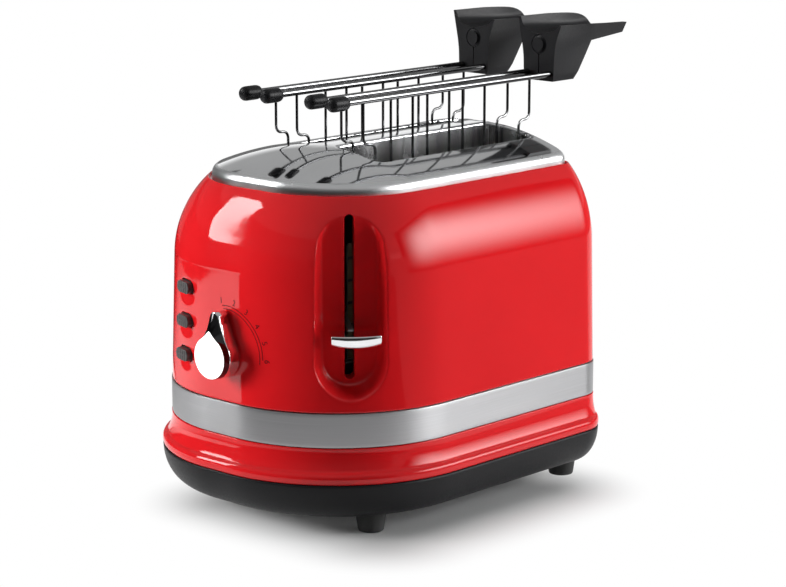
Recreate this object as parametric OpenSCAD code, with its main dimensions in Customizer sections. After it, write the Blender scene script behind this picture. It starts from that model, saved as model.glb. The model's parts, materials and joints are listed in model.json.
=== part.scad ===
// Two-slot toaster with a rounded control end, a lift lever, a browning knob,
// three push buttons, a crumb tray and two pairs of sandwich tongs.
// Working frame: X runs along the slots from the control end to the back, Y across, Z up.

/* [Shell] */
// Radius of the rounded control end at the foot of the shell
end_r = 81.6; // [76:0.1:88]
// Half of the shell's width at its foot
half_w = 91.2; // [88:0.1:100]
// From the centre of the control end to the back wall
back_x = 141; // [139:1:150]
// Radius of the upright corners at the back
corner_r = 20; // [14:1:26]
// Sheet thickness of the shell
shell_t = 1.2; // [0.8:0.1:1.6]
// Height of the shell's upright wall
wall_h = 72; // [66:1:80]
// How far the upright wall leans in at the control end
lean_end = 3; // [0:0.1:5]
// How far the upright wall leans in at the sides
lean_side = 2; // [0:0.1:4]
// Height of the curved shoulder
shoulder_h = 42.3; // [38:0.1:46]
// Angle that the shoulder turns through
shoulder_turn = 47.5; // [40:0.5:55]
// How far the shoulder comes in at the sides
shoulder_side = 18.9; // [15:0.1:22]
// How far the shoulder comes in at the control end
shoulder_end = 20.6; // [17:0.1:26]
// How far the shoulder comes in at the back
shoulder_back = 5.4; // [4.5:0.1:6.5]
// Width of the turned-in lip that carries the lid
lip_w = 4; // [3.5:0.1:4.4]

/* [Band, skirt and base] */
// Height of the trim band
band_h = 19.6; // [14:0.1:24]
// Sheet thickness of the trim band
band_t = 1.2; // [0.8:0.1:1.6]
// How far the band stands proud of the shell
band_proud = 0.4; // [0.2:0.1:0.6]
// How far the shell's neck, behind the band, reaches down inside the skirt
neck_lap = 3; // [1:0.5:4]
// Height of the flared skirt
skirt_h = 19.4; // [16:0.1:24]
// Wall thickness of the skirt
skirt_t = 2.4; // [2:0.1:3]
// Flare of the skirt at the control end
flare_end = 6.2; // [5:0.1:9]
// Flare of the skirt at the sides
flare_side = 6.2; // [5:0.1:9]
// Flare of the skirt at the back
flare_back = 2.6; // [2:0.1:4]
// Height of the base tray
base_h = 21; // [20:0.5:26]
// Wall and floor thickness of the base tray
base_t = 2.5; // [2:0.1:3]
// How far the base's rounded lower edge draws in
base_round = 15; // [10:0.5:18]
// How far the lower edge draws in at the back
base_round_back = 6; // [4:0.5:8]
// Height of a foot
foot_h = 11; // [8:0.5:16]
// Radius of a foot where it meets the base
foot_top_r = 8.6; // [6:0.1:9]
// Radius of a foot where it stands
foot_bottom_r = 7.2; // [4.5:0.1:8]
// Distance of the front feet from the centre of the control end
front_foot_x = -33; // [-38:1:-26]
// Half the distance between the front feet
front_foot_y = 65.5; // [56:0.5:66]
// Distance of the rear feet from the centre of the control end
rear_foot_x = 126; // [116:1:126]
// Half the distance between the rear feet
rear_foot_y = 70; // [58:1:70]

/* [Lid and slots] */
// Radius of the lid's arch across the slots
lid_arch_r = 177; // [165:1:200]
// Height of the lid's crown above the shell's top edge
crown_h = 18.7; // [17:0.1:24]
// Sheet thickness of the lid
lid_t = 1; // [0.8:0.1:1.4]
// Dark gap between the lid's rim and the shell
lid_gap = 2.4; // [1.5:0.1:3]
// Width of the lid's rolled rim
rim_w = 3; // [2:0.5:5]
// Length of the lid's rounded fall at the back
lid_fall = 4; // [3:0.1:5]
// Distance from the lid's middle to the middle of a slot
slot_y = 25.8; // [25:0.1:28]
// Width of a bread slot
slot_w = 35; // [34:0.5:38]
// Front end of the slots
slot_front = -3; // [-8:0.5:2]
// Back end of the slots
slot_back = 128.5; // [124:0.5:129.5]
// Corner radius of a slot
slot_r = 6; // [3:0.5:10]
// Depth of the slot flanges below the crown
flange_h = 27; // [22:0.5:30]

/* [Lever] */
// Direction of the lever recess, measured from the control end
lever_turn = 49; // [44:0.5:52]
// Width of the recess at the shell's surface
recess_w = 43; // [38:1:45]
// Width of the recess floor
recess_floor_w = 31; // [28:0.5:34]
// Depth of the recess
recess_d = 13; // [11:0.5:14]
// Lower end of the recess above the shell's lower edge
recess_low = 6.5; // [3:0.5:9]
// Upper end of the recess below the shell's top edge
recess_high = 2.5; // [2:0.5:8]
// Width of the lever slot
lever_slot_w = 5.3; // [4.5:0.1:7]
// Thickness of the lever arm
arm_t = 3; // [2:0.1:3.6]
// Height of the lever arm
arm_h = 8; // [6:0.5:9]
// Height of the lever as photographed, above the base
lever_z = 101; // [98:0.5:104]
// Width of the lever paddle
paddle_w = 27; // [22:0.5:28]
// Depth of the lever paddle
paddle_d = 16; // [12:0.5:18]
// Height of the lever paddle
paddle_h = 7; // [6.5:0.5:9]
// How far the paddle's middle lies to the side of the lever arm
paddle_side = 2; // [0:0.1:2.5]
// Travel of the lever below the photographed place
lift_down = 20; // [14:1:20]
// Travel of the lever above the photographed place
lift_up = 60; // [50:1:60]

/* [Controls] */
// Height of the knob's axis
knob_z = 86.1; // [84:0.1:92]
// Sideways place of the knob's axis
knob_y = -1.4; // [-4:0.1:0]
// Radius of the knob's round part
knob_r = 12.3; // [10:0.1:15]
// Radius of the knob's pointer tip
knob_tip_r = 2.6; // [2:0.1:4]
// Distance from the knob's axis to the centre of its tip
knob_reach = 21; // [18:0.5:24]
// Depth of the knob
knob_d = 10.9; // [10:0.1:16]
// Thickness of the knob's face
cap_t = 0.8; // [0.6:0.1:2]
// Depth of the knob's sloping front edge
knob_slope = 2.3; // [1:0.1:4]
// Radius of the knob's shaft
shaft_r = 3; // [2.5:0.1:3.4]
// Width of a button
button_w = 16; // [13:0.5:18]
// Height of a button
button_h = 7.4; // [6:0.2:9]
// Sideways place of the buttons
button_y = 36; // [33:0.5:37]
// Height of the lowest button
button_z = 80; // [77:0.5:84]
// Distance from one button to the next
button_step = 19; // [16:0.5:20]
// How far a button stands proud of the shell
button_proud = 3.6; // [2.5:0.1:5]
// Travel of a button
button_travel = 2; // [1:0.1:2.5]

/* [Tongs] */
// Half the distance between the two wire grids of a pair
grid_half = 9; // [8:0.1:9.5]
// Height of the rods above the lid's crown
rod_rise = 28; // [24:0.5:36]
// Radius of a rod
rod_r = 1.8; // [1.5:0.1:2.2]
// Radius of a grid wire
wire_r = 0.9; // [0.7:0.1:1.1]
// Front end of the rods
rod_front = -32; // [-40:1:-24]
// Depth of the grids below the rods
grid_depth = 114; // [100:1:118]
// Gap left between the lower edges of a pair
jaw_gap = 10; // [8:0.5:12]
// Step of the end wires over the slot's ends
shoulder_step = 11; // [8:0.5:13]
// Face of the grips that the rods enter
grip_x = 154; // [148:1:160]
// Length of a grip along its lower edge
grip_foot = 20; // [17:0.5:26]
// Length of a grip along its upper edge
grip_top = 64; // [50:1:72]
// Half width of a pair of grips at the bottom
grip_w = 11.5; // [11:0.1:13]
// Half width of a pair of grips across the wings
wing_w = 16.5; // [15:0.5:18]
// Height of the near wing above the rods
wing_h = 31; // [28:0.5:36]
// Height of the pivot above the rods
pivot_h = 17; // [15:0.5:20]
// Radius of the pivot pin
pin_r = 2.5; // [2:0.1:3]
// Radius of the pivot knuckles
knuckle_r = 5.4; // [4.6:0.1:6]
// Length of a tip cap
tip_l = 19; // [15:0.5:24]
// Radius of a tip cap
tip_r = 4.1; // [3.2:0.1:5]

/* [Crumb tray] */
// Half width of the crumb tray
tray_half = 52; // [48:0.5:53]
// Height of the crumb tray
tray_h = 11; // [9:0.5:12]
// Sheet thickness of the crumb tray
tray_t = 1; // [0.8:0.1:1.5]

/* [Clearances] */
// Play between a shaft and its bore
shaft_play = 0.06; // [0.02:0.01:0.1]
// Gap between parts that slide past each other
slide_gap = 0.3; // [0.25:0.05:0.5]
// Play round a piece that is pressed or slotted into another
press_play = 0.05; // [0.02:0.01:0.1]
// Play of a screw in its hole
hole_play = 0.1; // [0.05:0.05:0.2]

/* [Hidden] */
$fn = 48;
end_steps = 10;
corner_steps = 4;
shoulder_steps = 6;
coil_steps = 8;

// Heights of the stacked body pieces
skirt_z = base_h;
band_z = skirt_z + skirt_h;
shell_z = band_z + band_h;
shoulder_z = shell_z + wall_h;
top_z = shoulder_z + shoulder_h;
crown_z = top_z + crown_h;

// Outline levels: end radius, half width, back, corner radius
body_level = [end_r, half_w, back_x, corner_r];
waist_level = [end_r - lean_end, half_w - lean_side, back_x, corner_r];
top_level = [waist_level[0] - shoulder_end, waist_level[1] - shoulder_side, back_x - shoulder_back,
             corner_r - shoulder_side / 2];
skirt_level = [end_r + flare_end, half_w + flare_side, back_x + flare_back, corner_r + flare_side];
base_ledge = 0.5;
base_level = grown(skirt_level, -base_ledge);
base_low_level = [base_level[0] - base_round, base_level[1] - base_round,
                  base_level[2] - base_round_back, base_level[3] - base_round_back];
end_offset = half_w - end_r;

// Reach of the control end's wall at a height
function wall_end(z) = end_r - lean_end * (z - shell_z) / wall_h;

// Inner frame
sheet_t = 1;
bulk_gap = 4;
bulk_front = slot_front - bulk_gap;
bulk_back_gap = 2.6;
bulk_back = back_x - shoulder_back - bulk_back_gap;
screw_r = 1.5;
head_r = 3.2;
rail_t = 2;
tab_half = 5;
head_side = 2;
screw_y = tray_half + slide_gap + rail_t + head_r + head_side;
bulk_half = screw_y + tab_half;
bulk_drop = 6;
bulk_top = top_z - bulk_drop;
boss_h = 6;
bulk_low = boss_h;
foot_tab = 14;
reflector_inset = 4;
reflector_y = bulk_half - reflector_inset;
reflector_drop = 8;
heater_gap = 5;
heater_y = reflector_y - heater_gap;
heater_rise = 13;
heater_low = base_h + heater_rise;
heater_drop = 4;
heater_high = bulk_top - heater_drop;
guide_r = 0.8;
rail_r = 1;
rod_gap = 17;
rod_x = bulk_front - rod_gap;
rod_over = 2;
rod_top = bulk_top + rod_over;
guide_rod_r = 3;
seat_h = 12;
tongs_y = slot_y;

// Lift carriage
boss_r = 7;
lever_over = 35;
carriage_low = lever_z - lever_over;
carriage_h = 40;
beam_h = 8;
beam_t = 8;
blade_t = 1.5;
blade_h = 9;
rack_tab_w = 6;
rack_tab_l = 7;
rack_tab_t = 1.5;
rack_arm_half = 4;
lever_seat_h = 5;
lever_seat_over = 12;
keeper_h = 2.5;
keeper_w = 12;
keeper_gap = 16;
keeper_x = rod_x - keeper_gap;
keeper_y = 11.5;
pole_gap = 0.5;
pole_z = carriage_low - keeper_h - lift_down - pole_gap;
core_z = 14;
paddle_inset = 5.6;
paddle_s = end_r - paddle_inset;
arm_s = 32;
tongue_h = 4;
arm_low = lever_z - arm_h / 2;

// Controls
board_depth = 22.5;
board_x = board_depth - end_r;
board_t = 1.5;
standoff = 2;
bracket_t = 2.5;
board_under = 16;
board_over = 11;
board_knob_side = 18;
board_button_side = 10;
board_low = button_z - board_under;
board_high = button_z + 2 * button_step + board_over;
board_left = knob_y - board_knob_side;
board_right = button_y + board_button_side;
knob_gap = 0.5;
knob_back = -wall_end(knob_z) - knob_gap;
knob_front = knob_back - knob_d;
switch_h = 4;
plunger_h = 1.5;
flange_depth = 13;
button_flange = flange_depth - end_r;

// Tongs
rod_z = crown_z + rod_rise;
grid_low = rod_z - grid_depth;
wire_gap = 1.4;
wire_set = 2;
wire_front = slot_front + wire_gap + wire_r + wire_set;
wire_back = slot_back - wire_gap - wire_r;
shoulder_wire_z = lid_z(tongs_y - grid_half) + wire_r + slide_gap;
pivot_z = rod_z + pivot_h;
split_gap = 0.3;
knuckle_l = 7;
knuckle_mid = 14;
grip_low = 4.5;
rod_bury = 14;
tip_bury = 6;
wing_back = grip_x + grip_top;
origin_x = (wing_back + knob_front - cap_t) / 2;

// Outlines and lofts

function grown(level, d) = [for (v = level) v + d];

function mixed(a, b, k) = [for (i = [0:3]) a[i] + (b[i] - a[i]) * k];

// One level of the body: round control end, straight sides, rounded back corners
function ring(level, z) = let (r = level[0], h = level[1], b = level[2], c = level[3]) concat(
  [for (i = [0:end_steps]) let (t = 90 + 90 * i / end_steps) [r * cos(t), h - r + r * sin(t), z]],
  [for (i = [0:end_steps]) let (t = 180 + 90 * i / end_steps) [r * cos(t), r - h + r * sin(t), z]],
  [for (i = [0:corner_steps]) let (t = 270 + 90 * i / corner_steps)
    [b - c + c * cos(t), c - h + c * sin(t), z]],
  [for (i = [0:corner_steps]) let (t = 90 * i / corner_steps)
    [b - c + c * cos(t), h - c + c * sin(t), z]]);

function reversed(list) = [for (i = [len(list) - 1:-1:0]) list[i]];

function flat_list(rings) = [for (r = rings) for (p = r) p];

function wall_faces(count, n, bands) = [for (i = [0:bands - 1]) for (j = [0:n - 1])
  let (k = (j + 1) % n, up = (i + 1) % count)
    for (f = [[i * n + j, up * n + j, up * n + k], [i * n + j, up * n + k, i * n + k]]) f];

// Solid through a stack of rings, closed by its first and last ring
module loft(rings) {
  n = len(rings[0]);
  count = len(rings);
  polyhedron(flat_list(rings), concat(wall_faces(count, n, count - 1),
    [[for (j = [0:n - 1]) j], [for (j = [n - 1:-1:0]) (count - 1) * n + j]]));
}

// Ring-shaped solid whose last ring joins its first
module loft_loop(rings) {
  count = len(rings);
  polyhedron(flat_list(rings), wall_faces(count, len(rings[0]), count));
}

// Tube along a coil about Z
module coil(coil_r, tube_r, turns, length) {
  steps = turns * coil_steps;
  bend = 360 / coil_steps;
  half = coil_steps / 2;
  rise = length / steps;
  middles = [for (i = [0:steps]) [coil_r * cos(bend * i), coil_r * sin(bend * i), rise * i]];
  gaps = [for (i = [0:steps - half], j = [i + half:steps]) norm(middles[i] - middles[j])];
  echo(least_coil_gap = min(gaps) - 2 * tube_r);
  loft([for (i = [0:steps]) [for (a = [0:60:300]) let (r = coil_r + tube_r * cos(a))
    [r * cos(bend * i), r * sin(bend * i), rise * i + tube_r * sin(a)]]]);
}

// Everything is drawn about the control end's centre and set down on its feet here
module placed() translate([-origin_x, 0, foot_h]) children();

// Flat shape in Y and Z, pushed along X from the given place
module along_x(x, length) translate([x, 0, 0]) rotate([90, 0, 90]) linear_extrude(length) children();

// Flat shape in X and Z, pushed along Y from the given place
module along_y(y, length) {
  translate([0, y + length, 0]) rotate([90, 0, 0]) linear_extrude(length) children();
}

module block(x0, x1, y0, y1, z0, z1) translate([x0, y0, z0]) cube([x1 - x0, y1 - y0, z1 - z0]);

// Block that reaches equally far to both sides of a line along X
module mid_block(x0, x1, y, half, z0, z1) block(x0, x1, y - half, y + half, z0, z1);

module post(x, y, z0, z1, r) translate([x, y, z0]) cylinder(r = r, h = z1 - z0);

module pin_x(x0, x1, y, z, r) translate([x0, y, z]) rotate([0, 90, 0]) cylinder(r = r, h = x1 - x0);

// Upright slot shape with round ends
module stadium(w, low, high) {
  translate([-w / 2, low + w / 2]) square([w, high - low - w]);
  translate([0, low + w / 2]) circle(w / 2);
  translate([0, high - w / 2]) circle(w / 2);
}

module rounded_rect(x0, x1, y0, y1, r) {
  translate([x0 + r, y0]) square([x1 - x0 - 2 * r, y1 - y0]);
  translate([x0, y0 + r]) square([x1 - x0, y1 - y0 - 2 * r]);
  for (x = [x0 + r, x1 - r], y = [y0 + r, y1 - r]) translate([x, y]) circle(r);
}

// Straight wire between two points in one upright plane
module wire(a, b, r) {
  d = b - a;
  length = norm(d);
  translate(a) rotate([0, acos(d[2] / length), atan2(d[1], d[0])])
    translate([0, 0, -r / 2]) cylinder(r = r, h = length + r, $fn = 8);
}

// Shell

function shoulder_angle(i) = shoulder_turn * i / shoulder_steps;
function shoulder_rise(a) = shoulder_h * sin(a) / sin(shoulder_turn);
function shoulder_mix(a) = (1 - cos(a)) / (1 - cos(shoulder_turn));
function shoulder_ring(i, t) = let (a = shoulder_angle(i))
  ring(grown(mixed(waist_level, top_level, shoulder_mix(a)), -t * cos(a)),
    shoulder_z + shoulder_rise(a) - t * sin(a));

neck_gap = 0.1;
neck_level = grown(body_level, band_proud - band_t - neck_gap);
neck_z = band_z - neck_lap;
shell_outer = concat(
  [ring(neck_level, neck_z), ring(neck_level, shell_z), ring(body_level, shell_z)],
  [for (i = [0:shoulder_steps]) shoulder_ring(i, 0)]);
shell_inner = concat(
  [ring(grown(top_level, -lip_w), top_z), ring(grown(top_level, -lip_w), top_z - shell_t),
   ring(grown(top_level, -1.4 * shell_t), top_z - shell_t)],
  [for (i = [shoulder_steps - 1:-1:0]) shoulder_ring(i, shell_t)],
  [ring(grown(body_level, -shell_t), shell_z + shell_t),
   ring(grown(neck_level, -shell_t), shell_z + shell_t),
   ring(grown(neck_level, -shell_t), neck_z)]);

recess_t = 1.5;
recess_z0 = shell_z + recess_low;
recess_z1 = top_z - recess_high;
floor_s = end_r - recess_d;

// Turns a piece to face out of the lever recess, X pointing outwards
module lever_frame() translate([0, -end_offset, 0]) rotate([0, 0, 180 + lever_turn]) children();

// Dished pocket of the recess, grown by the given thickness
module recess_pocket(grow) {
  edge = (recess_w - recess_floor_w) / 2;
  lever_frame() hull() {
    along_x(floor_s - grow, 0.1)
      stadium(recess_floor_w + 2 * grow, recess_z0 + edge - grow, recess_z1 - edge + grow, $fn = 32);
    along_x(end_r + 1, 0.1)
      stadium(recess_w + 2 * grow, recess_z0 - grow, recess_z1 + grow, $fn = 32);
  }
}

lever_end_gap = 1.2;
slot_cut = 6;
module lever_slot() {
  low = arm_low - lift_down - lever_end_gap;
  high = arm_low + arm_h + lift_up + lever_end_gap;
  lever_frame() along_x(floor_s - slot_cut, 2 * slot_cut) stadium(lever_slot_w, low, high);
}

module button_shape(grow) {
  w = button_w + 2 * grow;
  h = button_h + 2 * grow;
  rounded_rect(-w / 2, w / 2, -h / 2, h / 2, h / 2 - 0.2);
}

module at_button(i) translate([0, button_y, button_z + i * button_step]) children();

module shell() {
  color("firebrick") placed() difference() {
    union() {
      loft_loop(concat(shell_outer, shell_inner));
      intersection() {
        recess_pocket(recess_t);
        loft(shell_outer);
      }
    }
    recess_pocket(0);
    lever_slot();
    for (i = [0:2]) at_button(i) along_x(-end_r - 2, 16) button_shape(slide_gap);
    pin_x(-end_r - 2, -end_r + 4, knob_y, knob_z, shaft_r + 1);
  }
}

// Lid

function lid_z(y) = crown_z - lid_arch_r + sqrt(lid_arch_r * lid_arch_r - y * y);

rim_level = grown(top_level, -lid_gap);
arch_half = rim_level[1] - rim_w;
arch_steps = 7;
crown_half = 1.5;

// One ring of the lid's arch: its height follows the arch at its own half width
function lid_ring(k, t) = let (
    half = arch_half * (1 - k) + crown_half * k - t * k,
    z = lid_z(half),
    fall = min(1, (z - top_z) / crown_h),
    back = rim_level[2] - lid_fall + lid_fall * sqrt(1 - fall * fall),
    reach = (rim_level[0] - rim_w) * half / arch_half,
    thin = t * (1 - k),
    corner = min(half / 2, rim_level[3]))
  ring([min(reach, half) - thin, half - thin, back - t, corner - thin], z - t);

rim_top = lid_z(arch_half);
rim_roll = 1.8;
rim_outer = concat([ring(rim_level, top_z)], [for (a = [0:30:60])
  ring(grown(rim_level, -rim_roll * (1 - cos(a))), rim_top - rim_roll * (1 - sin(a)))]);
rim_inner = [
  ring(grown(rim_level, -lid_t - rim_roll / 2), rim_top - lid_t - rim_roll / 3),
  ring(grown(rim_level, -lid_t), rim_top - lid_t - rim_roll),
  ring(grown(rim_level, -lid_t), top_z)];
lid_outer = concat(rim_outer, [for (i = [0:arch_steps]) lid_ring(i / arch_steps, 0)]);
lid_inner = concat([for (i = [arch_steps:-1:0]) lid_ring(i / arch_steps, lid_t)], rim_inner);

module slot_shape(y, grow) {
  half = slot_w / 2 + grow;
  rounded_rect(slot_front - grow, slot_back + grow, y - half, y + half, slot_r + grow);
}

module top_plate() {
  color("silver") placed() difference() {
    union() {
      loft(concat(lid_inner, lid_outer));
      intersection() {
        translate([0, 0, crown_z - flange_h]) linear_extrude(flange_h)
          for (side = [-1, 1]) slot_shape(side * slot_y, lid_t);
        loft(concat([ring(rim_level, top_z - flange_h)], lid_outer));
      }
    }
    for (side = [-1, 1]) translate([0, 0, crown_z - flange_h - 1]) linear_extrude(flange_h + 2)
      slot_shape(side * slot_y, 0);
  }
}

// Band, skirt and base

module level_shape(level) polygon([for (p = ring(level, 0)) [p[0], p[1]]]);

module trim_band() {
  color("gainsboro") placed() translate([0, 0, band_z]) linear_extrude(band_h) difference() {
    level_shape(grown(body_level, band_proud));
    level_shape(grown(body_level, band_proud - band_t));
  }
}

bead_r = 5.4;
bead_rise = 4.8;
neck_proud = 0.2;
skirt_top_level = grown(body_level, band_proud + neck_proud);
skirt_top_t = band_t + neck_proud;
// Turns of the skirt's bead, and the hollow above it as shares of the flare and of the height
bead_turns = [-60, -30, 0, 30, 60];
hollow = [[0.16, 0.34], [0.05, 0.2], [0, 0]];
function bead_ring(a, t) = ring(grown(skirt_level, -bead_r + (bead_r - t) * cos(a)),
  skirt_z + bead_rise + (bead_r - t) * sin(a));
function hollow_ring(p, t) = ring(grown(mixed(skirt_top_level, skirt_level, p[0]), -t),
  band_z - skirt_h * p[1]);

module skirt() {
  outer = concat(
    [ring(grown(skirt_level, -bead_r / 2), skirt_z)],
    [for (a = bead_turns) bead_ring(a, 0)],
    [for (p = hollow) hollow_ring(p, 0)]);
  inner = concat(
    [for (p = reversed(hollow)) hollow_ring(p, skirt_top_t)],
    [for (a = reversed(bead_turns)) bead_ring(a, skirt_t)],
    [ring(grown(skirt_level, -bead_r / 2 - skirt_t), skirt_z)]);
  color("firebrick") placed() loft_loop(concat(outer, inner));
}

function base_ring_level(t) = mixed(base_low_level, base_level, sin(90 * t));
function base_ring(t, wall) = ring(grown(base_ring_level(t), -wall), base_h * (1 - cos(90 * t)));

base_steps = 6;
floor_step = 2 / base_steps;
tray_gap = 0.6;
tray_back = base_level[2] + tray_gap;
handle_lap = 2;
tray_low = base_t + slide_gap;
tray_rail_y = tray_half + slide_gap + rail_t / 2;
tray_set = 3;
tray_front = bulk_front + tray_set;
rail_short = 22;
mouth_front = bulk_back - 6;
mouth_back = back_x + 20;
inlet_side = 3.5;
inlet_z = base_h * 0.55;
inlet_r = 5.5;
inlet_bore_r = 3.6;
inlet_flange_r = 7;
inlet_flange_t = 2.4;
inlet_lap = 0.2;
inlet_y = tray_half + handle_lap + inlet_flange_r + inlet_side;
screw_x = [bulk_front - sheet_t - foot_tab / 2, bulk_back - foot_tab / 2];
boss_wall = 1.6;
head_low = 0.4;
head_high = 2.4;
head_play = 0.4;
screw_over = 3;
drive_l = 3.6;
drive_w = 0.8;
vent_count = 6;
vent_l = 20;
vent_w = 2;
vent_pitch = 4.5;
vent_x = rod_x - 6;
vent_y = -30;

// Block under or round the latch magnet and its keeper, grown on all sides
module keeper_block(grow, z0, z1) {
  block(keeper_x - grow, keeper_x + keeper_w + grow, keeper_y - grow, keeper_y + keeper_w + grow, z0, z1);
}

module base_tray() {
  outer = [for (i = [0:base_steps]) base_ring(i / base_steps, 0)];
  inner = concat(
    [ring(grown(base_level, -base_t), base_h)],
    [for (i = [base_steps - 1:-1:2]) base_ring(i / base_steps, base_t)],
    [ring(grown(base_ring_level(floor_step), -base_t), base_t)]);
  color("#2b2b2d") placed() difference() {
    union() {
      loft(concat(outer, inner));
      for (x = screw_x, side = [-1, 1]) post(x, side * screw_y, base_t / 2, boss_h, head_r + boss_wall);
      post(rod_x, 0, base_t / 2, seat_h, boss_r);
      keeper_block(1, base_t / 2, core_z);
      for (side = [-1, 1]) mid_block(tray_front, bulk_back - rail_short, side * tray_rail_y, rail_t / 2,
        base_t / 2, base_t + tray_h);
    }
    for (x = screw_x, side = [-1, 1]) {
      post(x, side * screw_y, -1, boss_h + 1, screw_r + hole_play);
      post(x, side * screw_y, -1, head_high, head_r + head_play);
    }
    post(rod_x, 0, base_t, seat_h + 1, guide_rod_r + shaft_play);
    mid_block(mouth_front, mouth_back, 0, tray_half + slide_gap, base_t, tray_low + tray_h + slide_gap);
    pin_x(mouth_front, mouth_back, inlet_y, inlet_z, inlet_r + press_play);
    for (i = [0:vent_count - 1]) translate([vent_x, vent_y - vent_pitch * i, -1])
      cube([vent_l, vent_w, base_t + 2]);
  }
}

module feet() {
  spots = [[front_foot_x, front_foot_y], [rear_foot_x, rear_foot_y]];
  color("#1c1c1e") placed() for (side = [-1, 1], p = spots) translate([p[0], side * p[1], -foot_h])
    cylinder(r1 = foot_bottom_r, r2 = foot_top_r, h = foot_h);
}

module base_screws() {
  color("dimgray") placed() for (x = screw_x, side = [-1, 1]) difference() {
    union() {
      post(x, side * screw_y, head_low, head_high, head_r);
      post(x, side * screw_y, head_high - head_low, boss_h + sheet_t + screw_over, screw_r);
    }
    for (turn = [0, 90]) translate([x, side * screw_y, 2 * head_low]) rotate(turn)
      cube([drive_l, drive_w, 1], center = true);
  }
}

module cord_inlet() {
  wall = base_level[2];
  color("#1c1c1e") placed() difference() {
    union() {
      pin_x(wall - inlet_flange_r, wall + 1, inlet_y, inlet_z, inlet_r);
      pin_x(wall + inlet_lap, wall + inlet_lap + inlet_flange_t, inlet_y, inlet_z, inlet_flange_r);
    }
    pin_x(wall - inlet_flange_r - 1, wall + inlet_flange_t + 2, inlet_y, inlet_z, inlet_bore_r);
  }
}

// Inner frame and heat

module foot_tabs(x) {
  for (side = [-1, 1]) difference() {
    mid_block(x - foot_tab, x, side * screw_y, tab_half, bulk_low, bulk_low + sheet_t);
    post(x - foot_tab / 2, side * screw_y, bulk_low - 1, bulk_low + sheet_t + 1, screw_r + hole_play);
  }
}

blade_slot_w = 5;
blade_slot_low = 4;
blade_slot_high = 6;
ear_half = 9;
ear_t = 2;
module front_bulkhead() {
  x0 = bulk_front - sheet_t;
  low = carriage_low - lift_down - blade_slot_low;
  high = carriage_low + blade_h + lift_up + blade_slot_high;
  color("lightgray") placed() union() {
    difference() {
      mid_block(x0, bulk_front, 0, bulk_half, bulk_low, bulk_top);
      for (side = [-1, 1]) along_x(x0 - 1, sheet_t + 2) translate([side * tongs_y, 0])
        stadium(blade_slot_w, low, high);
    }
    foot_tabs(x0);
    difference() {
      mid_block(rod_x - ear_half, x0, 0, ear_half, bulk_top - ear_t, bulk_top);
      post(rod_x, 0, bulk_top - ear_t - 1, bulk_top + 1, guide_rod_r + shaft_play);
    }
  }
}

mouth_gap = 1.4;
module rear_bulkhead() {
  color("lightgray") placed() union() {
    difference() {
      mid_block(bulk_back, bulk_back + sheet_t, 0, bulk_half, bulk_low, bulk_top);
      mid_block(bulk_back - 1, bulk_back + sheet_t + 1, 0, tray_half + mouth_gap, bulk_low - 1, base_h);
    }
    foot_tabs(bulk_back);
  }
}

module reflector(side) {
  color("lightgray") placed() mid_block(bulk_front, bulk_back, side * (reflector_y + sheet_t / 2),
    sheet_t / 2, heater_low - reflector_drop, heater_high);
}

module reflector_front() reflector(-1);

module reflector_rear() reflector(1);

mica_t = 1;
module heater_board(y) {
  color("tan") placed() mid_block(bulk_front, bulk_back, y, mica_t / 2, heater_low, heater_high);
}

module heater_board_front() heater_board(-heater_y);

module heater_board_centre() heater_board(0);

module heater_board_rear() heater_board(heater_y);

ribbon_t = 0.3;
ribbon_h = 1.6;
ribbon_inset = 6;
ribbon_count = 9;
module heater_ribbons() {
  pitch = (heater_high - heater_low) / (ribbon_count + 1);
  lift = (mica_t + ribbon_t) / 2;
  faces = [lift - heater_y, -lift, lift, heater_y - lift];
  color("dimgray") placed() for (y = faces, i = [1:ribbon_count]) translate([0, 0, heater_low + i * pitch])
    mid_block(slot_front + ribbon_inset, slot_back - ribbon_inset, y, ribbon_t / 2,
      -ribbon_h / 2, ribbon_h / 2);
}

guide_count = 6;
guide_under = 3;
guide_over = 2;
module guide_grid(y) {
  low = heater_low + guide_over;
  high = crown_z - flange_h - guide_under;
  pitch = (slot_back - slot_front) / guide_count;
  for (z = [low, high]) pin_x(bulk_front, bulk_back, y, z, rail_r, $fn = 8);
  for (i = [0:guide_count - 1])
    post(slot_front + pitch * (i + 0.5), y, low, high, guide_r, $fn = 8);
}

module bread_guides(side) {
  color("silver") placed() for (edge = [-1, 1])
    guide_grid(side * slot_y + edge * (slot_w / 2 + rail_r));
}

module bread_guides_front() bread_guides(-1);

module bread_guides_rear() bread_guides(1);

// Lift

module guide_rod() color("silver") placed() post(rod_x, 0, base_t, rod_top, guide_rod_r);

spring_wire = 0.6;
spring_play = 0.1;
spring_gap = 1.7;
spring_turns = 10;
module lift_spring() {
  low = seat_h + spring_wire + spring_play;
  high = carriage_low - spring_wire - spring_play;
  color("gray") placed() translate([rod_x, 0, low])
    coil(guide_rod_r + spring_gap, spring_wire, spring_turns, high - low);
}

yoke_gap = 2;
yoke_d = 4;
module latch_magnet() {
  middle = keeper_x + keeper_w / 2;
  color("dimgray") placed() difference() {
    keeper_block(0, core_z, pole_z);
    block(middle - yoke_gap / 2, middle + yoke_gap / 2, keeper_y - 1, keeper_y + keeper_w + 1,
      pole_z - yoke_d, pole_z + 1);
  }
}

coil_wall = 3;
coil_low = core_z + 2;
coil_high = pole_z - 6;
module latch_coil() {
  color("peru") placed() difference() {
    keeper_block(coil_wall, coil_low, coil_high);
    keeper_block(hole_play, core_z, pole_z);
  }
}

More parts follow.
